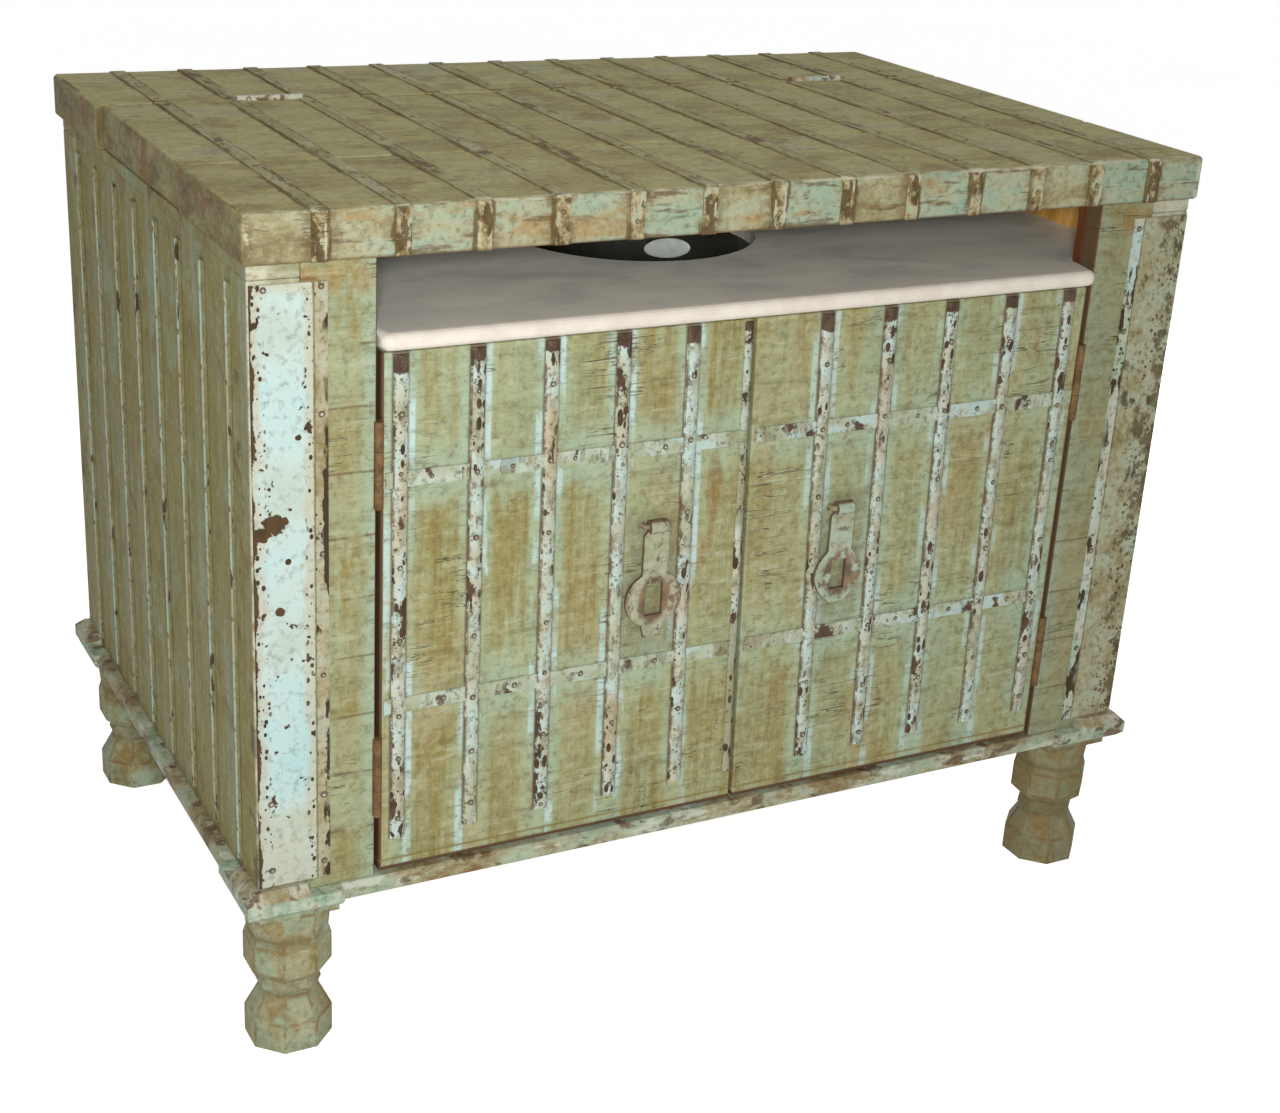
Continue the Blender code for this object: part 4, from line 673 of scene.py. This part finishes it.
def make_right_plate():
    """Greenish cream, thick with rust towards the outer edge."""
    f = Finish("corner_plate_right", "corner_plate_right")
    tone = f.noise(20, 6, shift=(0, 0, 4), rough=0.68)
    base = f.tones(tone, (0.32, "9CB09A"), (0.44, "A6AA8E"), (0.54, "9A9572"), (0.66, "82754C"))
    base = weathered(f, base, 7.2, 0.8)
    outward = f.rise(f.x, PLATE_INNER + 0.01, PLATE_OUTER)
    spread = f.noise(34, 6, (1, 1, 0.8), (3, 0, 6), rough=0.72)
    spread = f.plus(spread, f.both(outward, 0.1))
    level = f.both(f.near(f.z, 0.64, 0.26, 0.1), 0.035)
    rust = f.rise(f.plus(spread, level), 0.59, 0.68)
    specks = f.both(f.dots(165, 0.44, shift=(0, 0, 7)), f.rise(f.plus(outward, tone), 0.55, 0.9))
    chips = f.either(rust, specks)
    bare = f.mix(f.patches(0.4, 0.6, 50, 5), CHIP, "655738")
    base = f.coat(base, bare, chips, 0.9)
    base = f.coat(base, DIRT_AND_SHADE, 0.1)
    f.done(base, f.plus(0.5, f.both(chips, 0.3)), f.minus(f.both(tone, 0.6), chips), 0.001)


def make_post_strap(side):
    f = Finish("post_strap_" + side, "post_strap_" + side)
    seed = 3.3 if side == "left" else 7.1
    tone = f.noise(13, 5, (1, 1, 0.8), (seed, 0, 0))
    if side == "left":
        base = f.tones(tone, (0.36, "8C8E74"), (0.46, "A6A590"), (0.56, "9F9676"), (0.66, "7D7048"))
    else:
        base = f.tones(tone, (0.38, PALE_BLUE), (0.52, CREAM), (0.64, AQUA))
    base = weathered(f, base, seed, 0.8)
    zone = f.noise(7, 3, shift=(0, seed, 0))
    outer = f.both(f.rise(f.size(f.x), POST_STRAP_X + 0.002, POST_STRAP_X - 0.006), 0.09)
    flake = f.noise(40, 5, (1, 1, 0.32), (0, 0, seed), rough=0.6)
    flakes = f.rise(f.plus(flake, outer), 0.575, 0.6)
    specks = f.dots(190, 0.42, shift=(seed, 0, 2))
    chips = f.either(f.both(flakes, f.rise(zone, 0.38, 0.44)), f.both(specks, f.rise(zone, 0.48, 0.56)))
    base = f.coat(base, CHIP, chips)
    f.done(base, f.plus(0.5, f.both(chips, 0.3)), f.minus(f.both(tone, 0.6), chips), 0.001)


def make_hasp_paint(side):
    """Pale worn paint with rust round the slot and on the right of the ring."""
    f = Finish("hasp_paint_" + side, "hasp_" + side)
    x, z = HASPS[side]
    if side == "left":
        shades = ((0.38, "8F9175"), (0.5, "A3A289"), (0.62, "959A7C"))
    else:
        shades = ((0.38, "939E83"), (0.5, "A1AF9C"), (0.62, "9A987B"))
    tone = f.noise(34, 5, shift=(x * 40, 0, 2))
    base = weathered(f, f.tones(tone, *shades), x * 30, 0.8)
    reach = f.reach(x, z, 0.72)
    ragged = f.noise(60, 5, shift=(1, 0, 4))
    loose = f.plus(reach, f.both(f.minus(ragged, 0.5), 0.016))
    near_slot = f.both(f.rise(loose, 0.022, 0.016), f.rise(ragged, 0.36, 0.46))
    rim = f.both(f.rise(loose, 0.0285, 0.031), f.rise(reach, 0.036, 0.0335),
                 f.rise(f.minus(f.z, z), 0.026, 0.018))
    right = f.both(f.rise(f.minus(f.x, x), 0.005, 0.014), f.near(f.z, z, 0.026, 0.014))
    patch = f.both(right, f.patches(0.42, 0.52, 110, 5, shift=(7, 0, 1)))
    spots = f.patches(0.6, 0.64, 95, 5, shift=(3, 0, 1))
    wear = f.either(f.both(near_slot, 0.85), f.both(rim, 0.6), f.both(f.either(spots, patch), 0.8))
    bare = f.mix(f.rise(tone, 0.42, 0.58), "55392B", "7A5A41")
    base = f.coat(base, bare, wear)
    # Painted shade on the faces that turn away from the front.
    base = f.coat(base, BROWN, f.rise(f.size(f.turned_y), 0.8, 0.45), 0.85)
    f.done(base, 0.62, f.minus(tone, f.both(wear, 0.6)), 0.001)


def make_hinge_paint():
    f = Finish("lid_hinge_paint", "lid_hinge")
    tone = f.noise(34, shift=(2, 2, 0))
    base = f.tones(tone, (0.42, "ADB5AA"), (0.54, "C2BFAB"), (0.64, "977F5C"))
    chips = f.patches(0.54, 0.58, 70, 5, rough=0.65)
    base = f.coat(base, BROWN, chips, 0.85)
    f.done(base, 0.5, f.minus(tone, chips), 0.0006)


def make_rust(name, light, dark, start):
    f = Finish(name, start)
    grain = f.noise(90, 6, shift=(2, 0, 0), rough=0.7)
    base = f.mix(f.rise(grain, 0.35, 0.65), dark, light)
    f.done(base, 0.75, grain, 0.0006, metallic=0.1)


def make_nail_paint(name, light, dark, rim):
    """Nail heads: each head takes the tone of its place."""
    f = Finish(name)
    tone = f.noise(45, 1, shift=(4, 1, 2))
    base = f.mix(f.rise(tone, 0.46, 0.56), light, dark)
    base = f.coat(base, DIRT_AND_SHADE, f.patches(0.54, 0.64, 300, 3), 0.5)
    spread = f.plus(f.plus(f.size(f.turned_x), f.size(f.turned_y)), f.size(f.turned_z))
    base = f.coat(base, CHIP, f.rise(spread, 1.1, 1.35), rim)
    return f.done(base, 0.55, f.noise(260, 3), 0.0004)


# Bare wood, stone, enamel and metal

def make_wood(name, light, dark, along, *starts):
    f = Finish(name, *starts)
    grain = f.noise(10, 6, along, (1.0, 0, 0), rough=0.65)
    rings = f.near(f.noise(7, 4, along, (5, 0, 0)), 0.5, 0.05, 0)
    fibre = f.noise(42, 4, along, (2, 2, 2), rough=0.6)
    base = f.mix(f.rise(grain, 0.3, 0.72), dark, light)
    base = f.coat(base, dark, rings, 0.45)
    base = f.coat(base, dark, f.rise(fibre, 0.5, 0.62), 0.5)
    f.done(base, 0.62, f.minus(fibre, f.both(rings, 0.5)), 0.0006)


def make_marble():
    """Off-white stone with soft grey clouds."""
    f = Finish("marble", "counter_slab")
    cloud = f.noise(9, 6, (0.8, 1.6, 1), rough=0.6, warp=0.8)
    base = f.tones(cloud, (0.36, "D6DAD3"), (0.5, "EBEEE3"), (0.64, "F4F6EB"))
    streak = f.noise(26, 5, (0.4, 1.6, 1), (3, 1, 0), rough=0.65)
    base = f.coat(base, "C0C2C1", f.rise(streak, 0.54, 0.66), 0.22)
    # Painted light: the top tinted warmer towards its front edge.
    front = f.rise(f.y, COUNTER_FRONT + 0.0645, COUNTER_FRONT + 0.0095)
    base = f.coat(base, "E3DBCF", front, 0.5)
    lip = f.either(f.rise(f.y, COUNTER_FRONT + 0.0045, COUNTER_FRONT),
                   f.rise(f.z, COUNTER_TOP - 0.002, COUNTER_TOP - 0.006))
    lip_tone = f.tones(f.noise(40), (0.4, "D3C9BB"), (0.6, "DBD3C5"))
    base = f.coat(base, lip_tone, lip)
    f.done(base, 0.34, f.noise(220, 2), 0.0002, specular=0.5)


def make_enamel():
    f = Finish("dark_enamel", "sink_bowl")
    haze = f.noise(18)
    base = f.mix(f.rise(haze, 0.4, 0.7), "34342C", "46453B")
    f.done(base, f.plus(0.22, f.both(haze, 0.2)), f.noise(160, 2), 0.0002, specular=0.5)


def make_bright_metal(name, light, dark, metallic, start):
    f = Finish(name, start)
    haze = f.noise(60)
    base = f.mix(f.rise(haze, 0.4, 0.7), light, dark)
    f.done(base, f.plus(0.25, f.both(haze, 0.15)), haze, 0.0002, metallic=metallic, specular=0.5)


def make_finishes():
    for make in (make_stile_planks, make_lid_planks, make_side_planks, make_post_paint, make_leg_paint,
                 make_rail_paint, make_left_plate, make_right_plate, make_hinge_paint, make_marble,
                 make_enamel):
        make()
    for side in ("left", "right"):
        make_door_planks(side)
        make_door_straps(side)
        make_post_strap(side)
        make_hasp_paint(side)
    make_rust("hinge_rust", "7B5F3E", "5A4329", "door_hinge")
    make_rust("staple_rust", "9C9476", "6B543F", "hasp_staple")
    make_wood("bare_wood", "7A4529", "57301C", (6, 6, 0.6), "batten")
    make_wood("ochre_wood", "B08848", "85602F", (6, 0.5, 6), "counter_bearer_left", "counter_bearer_right")
    make_wood("board_wood", "B08848", "85602F", (0.5, 6, 6), "bottom_board", "counter_bearer")
    make_wood("back_wood", "93804F", "6B5733", (7, 7, 0.28), "back_panel")
    make_bright_metal("overflow_metal", "F2F7EE", "DCE6DA", 0.0, "sink_overflow")
    make_bright_metal("drain_metal", "C2CBC2", "A5B0A6", 0.8, "drain")


def node_finish(node):
    """The finish for the longest start of the node's name."""
    return FINISH_OF[max((start for start in FINISH_OF if node.startswith(start)), key=len)]


def dress_nodes():
    for name, obj in nodes.items():
        obj.data.materials.clear()
        obj.data.materials.append(node_finish(name))


# Pieces of their own shape

def new_piece(name, bm, material):
    mesh = bpy.data.meshes.new(name)
    bm.to_mesh(mesh)
    bm.free()
    mesh.materials.append(material)
    piece = bpy.data.objects.new(name, mesh)
    bpy.context.scene.collection.objects.link(piece)
    return piece


def add_walls(bm, rings):
    """Faces between rings of corners that follow one another."""
    for low, high in zip(rings, rings[1:]):
        for index in range(len(low)):
            after = (index + 1) % len(low)
            bm.faces.new((low[index], low[after], high[after], high[index]))


def add_fan(bm, ring, crown):
    """Faces from a ring of corners to one corner."""
    for index, corner in enumerate(ring):
        bm.faces.new((corner, ring[(index + 1) % len(ring)], crown))


# Worn, rounded edges in place of the plain solids

LEG_WEAR = 0.0016
HASP_WEAR = 0.0014
END_WEAR = 0.0045
END_REACH = 0.012
EDGE_ANGLE = radians(28)


def plain_copy(node):
    """The solid of a node with one face to each flat side."""
    bm = bmesh.new()
    bm.from_mesh(nodes[node].data)
    bmesh.ops.remove_doubles(bm, verts=bm.verts, dist=0.00002)
    bmesh.ops.dissolve_limit(bm, angle_limit=radians(2), verts=bm.verts, edges=bm.edges)
    return bm


def settle(piece, node, body):
    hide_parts(node)
    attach(piece, body)


def soften(node, body, width):
    """A copy of a node with its edges rounded by use."""
    piece = new_piece(node + "_worn", plain_copy(node), node_finish(node))
    bevel = piece.modifiers.new("Worn edges", "BEVEL")
    bevel.width = width
    bevel.segments = 3
    bevel.limit_method = "ANGLE"
    bevel.angle_limit = EDGE_ANGLE
    piece.data.shade_smooth()
    piece.data.set_sharp_from_angle(angle=radians(50))
    settle(piece, node, body)


def round_ends(node, body):
    """A copy of a top board with its two ends rounded by use."""
    bm = plain_copy(node)
    reach = max(abs(vertex.co.x) for vertex in bm.verts)
    ends = []
    for edge in bm.edges:
        at_end = all(abs(vertex.co.x) > reach - END_REACH for vertex in edge.verts)
        if at_end and edge.calc_face_angle(0.0) > EDGE_ANGLE:
            ends.append(edge)
    worn = bmesh.ops.bevel(bm, geom=ends, offset=END_WEAR, segments=4, profile=0.5, affect="EDGES",
                           clamp_overlap=True)
    for face in bm.faces:
        face.smooth = False
    for face in worn["faces"]:
        face.smooth = True
    settle(new_piece(node + "_worn", bm, node_finish(node)), node, body)


def soften_pieces():
    for corner in ("front_left", "front_right", "back_left", "back_right"):
        soften("leg_" + corner, "cabinet", LEG_WEAR)
    for side in ("left", "right"):
        soften("hasp_" + side, side + "_hasp", HASP_WEAR)
    round_ends("lid_front_board", "lid")
    round_ends("lid_middle_board", "lid")
    round_ends("rear_top_board", "cabinet")


# The overflow plate: a shallow oval dish that follows the wall of the bowl

BOWL_CENTRE = Vector((-0.007, -0.048, 0.7215))
BOWL_WALL = 0.1476
OVAL_BEARING = radians(42)
OVAL_SLANT = radians(-10)
OVAL_HALF_WIDTH = 0.030
OVAL_HALF_HEIGHT = 0.012
OVAL_RINGS = ((1.0, 0.0), (1.0, 0.0010), (0.94, 0.0017), (0.80, 0.0014), (0.40, 0.0010))
OVAL_SIDES = 40


def oval_point(share, angle, rise):
    """A point of the oval, wrapped on the wall and lifted off it."""
    wide = OVAL_HALF_WIDTH * share * cos(angle)
    high = OVAL_HALF_HEIGHT * share * sin(angle)
    around = (wide * cos(OVAL_SLANT) - high * sin(OVAL_SLANT)) / BOWL_WALL
    up = wide * sin(OVAL_SLANT) + high * cos(OVAL_SLANT)
    bearing = OVAL_BEARING + around
    reach = BOWL_WALL - rise
    return BOWL_CENTRE + Vector((reach * cos(bearing), reach * sin(bearing), up))


def make_overflow():
    bm = bmesh.new()
    rings = []
    for share, rise in OVAL_RINGS:
        angles = [2 * pi * index / OVAL_SIDES for index in range(OVAL_SIDES)]
        rings.append([bm.verts.new(oval_point(share, angle, rise)) for angle in angles])
    add_walls(bm, rings)
    add_fan(bm, rings[0], bm.verts.new(oval_point(0.0, 0.0, 0.0)))
    add_fan(bm, rings[-1], bm.verts.new(oval_point(0.0, 0.0, OVAL_RINGS[-1][1])))
    bmesh.ops.recalc_face_normals(bm, faces=bm.faces)
    piece = new_piece("overflow_oval", bm, node_finish("sink_overflow_plate"))
    piece.data.shade_smooth()
    settle(piece, "sink_overflow_plate", "cabinet")


# Nails

NAIL_RINGS = ((1.0, 0.0), (0.92, 0.45), (0.55, 0.85))
NAIL_SIDES = 10
NAIL_SINK = 0.0003
STRAP_NAIL = 0.0031
BAND_NAIL = 0.0029
POST_NAIL = 0.0033
PLATE_NAIL = 0.0034
LID_NAIL = 0.0030
SIDE_NAIL = 0.0028
DOOR_NAIL_HEIGHTS = (0.252, 0.318, 0.3875, 0.462, 0.548, 0.6285, 0.698)
PLATE_NAIL_HEIGHTS = (0.823, 0.700, 0.560, 0.430, 0.300, 0.222)
SIDE_NAIL_HEIGHTS = (0.25, 0.36, 0.48, 0.60, 0.72, 0.80)
LID_NAIL_ROWS = (-0.325, -0.235, -0.165, -0.10, 0.02, 0.12)
REAR_NAIL_ROWS = (0.185, 0.260, 0.330)
FOLD_NAIL_HEIGHT = 0.872
PLATE_NAIL_INSET = 0.013
BAND_NAIL_INSET = 0.012
HASP_ROOM = 0.045
HASP_ROOM_HIGH = 0.09


def add_nail(bm, place, outward, radius, rise):
    """A domed nail head that stands on a face."""
    turn = Vector((0, 0, 1)).rotation_difference(Vector(outward)).to_matrix().to_4x4()
    matrix = Matrix.Translation(place) @ turn
    rings = []
    for share, height in NAIL_RINGS:
        ring = []
        for index in range(NAIL_SIDES):
            angle = 2 * pi * index / NAIL_SIDES
            point = Vector((radius * share * cos(angle), radius * share * sin(angle), rise * height))
            ring.append(bm.verts.new(matrix @ point))
        rings.append(ring)
    crown = bm.verts.new(matrix @ Vector((0, 0, rise)))
    bm.faces.new(list(reversed(rings[0])))
    add_walls(bm, rings)
    add_fan(bm, rings[-1], crown)


def nail_piece(name, spots, body, material, seed):
    """All the nails of one body as one piece, each a little different."""
    chance = Random(seed)
    bm = bmesh.new()
    for place, outward, radius in spots:
        wide = radius * chance.uniform(0.85, 1.15)
        add_nail(bm, place, outward, wide, radius * chance.uniform(0.35, 0.5))
    piece = new_piece(name, bm, material)
    piece.data.shade_smooth()
    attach(piece, body)


def leaned(x, z):
    """X of a point on a leaning upright of the doors."""
    share = max(0.0, 1 - abs(x - LEAN_PEAK_X) / LEAN_REACH)
    middle = (DOOR_HEAD + DOOR_FOOT) / 2
    return x - LEAN * share * (z - middle) / (DOOR_HEAD - DOOR_FOOT)


def door_nails(side):
    chance = Random(17 if side == "left" else 23)
    strap_front = BODY_FRONT - STRAP_RISE + NAIL_SINK
    hasp_x, hasp_z = HASPS[side]
    spots = []
    for index in range(STRAPS_PER_DOOR):
        x = STRAP_FIRST[side] + index * STRAP_PITCH[side]
        for z in DOOR_NAIL_HEIGHTS:
            z += chance.uniform(-0.012, 0.012)
            if abs(x - hasp_x) > HASP_ROOM or abs(z - hasp_z) > HASP_ROOM_HIGH:
                spots.append(((leaned(x, z), strap_front, z), (0, -1, 0), STRAP_NAIL))
        for z in BAND_HEIGHTS:
            between = x + STRAP_PITCH[side] * chance.uniform(0.35, 0.65)
            if abs(between) < DOOR_OUTER - BAND_NAIL_INSET:
                spots.append(((leaned(between, z), BODY_FRONT - BAND_RISE, z), (0, -1, 0), BAND_NAIL))
    return spots


def plate_nails():
    chance = Random(5)
    spots = []
    front = BODY_FRONT - PLATE_RISE
    for sign in (-1, 1):
        for z in PLATE_NAIL_HEIGHTS:
            z += chance.uniform(-0.006, 0.006)
            spots.append(((sign * POST_STRAP_X, front, z), (0, -1, 0), POST_NAIL))
            if z > 0.8 or z < 0.35:
                spots.append(((sign * (PLATE_OUTER - PLATE_NAIL_INSET), front, z), (0, -1, 0), PLATE_NAIL))
    return spots


def lid_strap_centres():
    first = LID_STRAP_MIDDLE - LID_STRAP_PITCH * (LID_STRAP_COUNT - 1) / 2
    return [first + index * LID_STRAP_PITCH for index in range(LID_STRAP_COUNT)]


def lid_nails(levels, edge_sign):
    """Nails along the top of the lid's straps, and on their fold at the front or back edge."""
    chance = Random(31)
    spots = []
    top = LID_TOP + LID_STRAP_RISE
    for x in lid_strap_centres():
        for y in levels:
            aside = x + chance.uniform(-0.002, 0.002)
            spots.append(((aside, y + chance.uniform(-0.015, 0.015), top), (0, 0, 1), LID_NAIL))
        if edge_sign:
            z = FOLD_NAIL_HEIGHT + chance.uniform(-0.008, 0.008)
            spots.append(((x, edge_sign * (LID_FACE + LID_STRAP_RISE), z), (0, edge_sign, 0), LID_NAIL))
    return spots


def side_nails():
    chance = Random(47)
    spots = []
    face = SIDE_FACE + SIDE_STRAP_RISE - NAIL_SINK
    for sign in (-1, 1):
        for index in range(SIDE_STRAP_COUNT):
            y = (index - (SIDE_STRAP_COUNT - 1) / 2) * SIDE_STRAP_PITCH
            for z in SIDE_NAIL_HEIGHTS:
                z += chance.uniform(-0.02, 0.02)
                spots.append(((sign * face, y, z), (sign, 0, 0), SIDE_NAIL))
    return spots


def make_nails():
    pale = make_nail_paint("pale_nails", CREAM, "A39A7E", 0.85)
    dull = make_nail_paint("dull_nails", "9A9468", "83774F", 0.45)
    nail_piece("door_left_nails", door_nails("left"), "left_door", pale, 1)
    nail_piece("door_right_nails", door_nails("right"), "right_door", pale, 2)
    nail_piece("plate_nails", plate_nails(), "cabinet", pale, 3)
    nail_piece("side_nails", side_nails(), "cabinet", dull, 4)
    nail_piece("lid_nails", lid_nails(LID_NAIL_ROWS, -1), "lid", dull, 5)
    nail_piece("rear_board_nails", lid_nails(REAR_NAIL_ROWS, 1), "cabinet", dull, 6)


# Studio

FLOOR_GLOW = 0.74
SKY = 0.26
CAMERA_LENS = 57.6
CAMERA_PLACE = (-1.0691, -2.0650, 1.3231)
CAMERA_TURN = (radians(67.397), radians(-3.101), radians(-27.413))


def add_lamp(name, size, energy, place, target):
    light = bpy.data.lights.new(name, "AREA")
    light.size = size
    light.energy = energy
    lamp = bpy.data.objects.new(name, light)
    bpy.context.scene.collection.objects.link(lamp)
    lamp.location = place
    lamp.rotation_euler = (Vector(target) - lamp.location).to_track_quat("-Z", "Y").to_euler()


def seen_directly(tree):
    """1 for rays from the camera, a mirror or glass, and 0 for the light that falls on things."""
    path = tree.nodes.new("ShaderNodeLightPath")
    seen = path.outputs["Is Camera Ray"]
    for ray in ("Is Glossy Ray", "Is Transmission Ray"):
        either = tree.nodes.new("ShaderNodeMath")
        either.operation = "MAXIMUM"
        tree.links.new(seen, either.inputs[0])
        tree.links.new(path.outputs[ray], either.inputs[1])
        seen = either.outputs[0]
    return seen


def make_studio():
    """A pale floor that keeps the shadow, an even sky, and lamps beside the camera, above and behind."""
    bpy.ops.mesh.primitive_plane_add(size=30, location=(0, 0, 0))
    floor = bpy.context.object
    floor.name = "floor"
    f = Finish("floor")
    f.shader.inputs["Emission Color"].default_value = (1, 1, 1, 1)
    f.feed(f.shader.inputs["Emission Strength"], f.both(seen_directly(f.tree), FLOOR_GLOW))
    floor.data.materials.append(f.done(f.mix(f.noise(0.7, 2.0), "F0F0F0", "ECECEC"), 0.9))

    world = bpy.data.worlds.new("studio")
    world.use_nodes = True
    tree = world.node_tree
    sky = tree.nodes["Background"]
    sky.inputs["Color"].default_value = (1, 1, 1, 1)
    sky.inputs["Strength"].default_value = SKY
    white = tree.nodes.new("ShaderNodeBackground")
    white.inputs["Color"].default_value = (1, 1, 1, 1)
    pick = tree.nodes.new("ShaderNodeMixShader")
    tree.links.new(seen_directly(tree), pick.inputs[0])
    tree.links.new(sky.outputs[0], pick.inputs[1])
    tree.links.new(white.outputs[0], pick.inputs[2])
    tree.links.new(pick.outputs[0], tree.nodes["World Output"].inputs["Surface"])
    bpy.context.scene.world = world

    add_lamp("key", 0.3, 40, (-1.05, -2.08, 1.30), (0, 0, 0.45))
    add_lamp("above", 1.2, 6, (0.1, 0.2, 2.6), (0, 0, 0.9))
    add_lamp("behind", 0.5, 34, (2.0, 2.0, 0.60), (0, 0, 0.45))


def make_camera():
    data = bpy.data.cameras.new("camera")
    data.sensor_width = 36
    data.sensor_fit = "HORIZONTAL"
    data.lens = CAMERA_LENS
    camera = bpy.data.objects.new("camera", data)
    bpy.context.scene.collection.objects.link(camera)
    camera.location = CAMERA_PLACE
    camera.rotation_euler = CAMERA_TURN
    bpy.context.scene.camera = camera
    bpy.context.scene.view_settings.view_transform = "Standard"


make_finishes()
dress_nodes()
soften_pieces()
make_overflow()
make_nails()
make_studio()
make_camera()
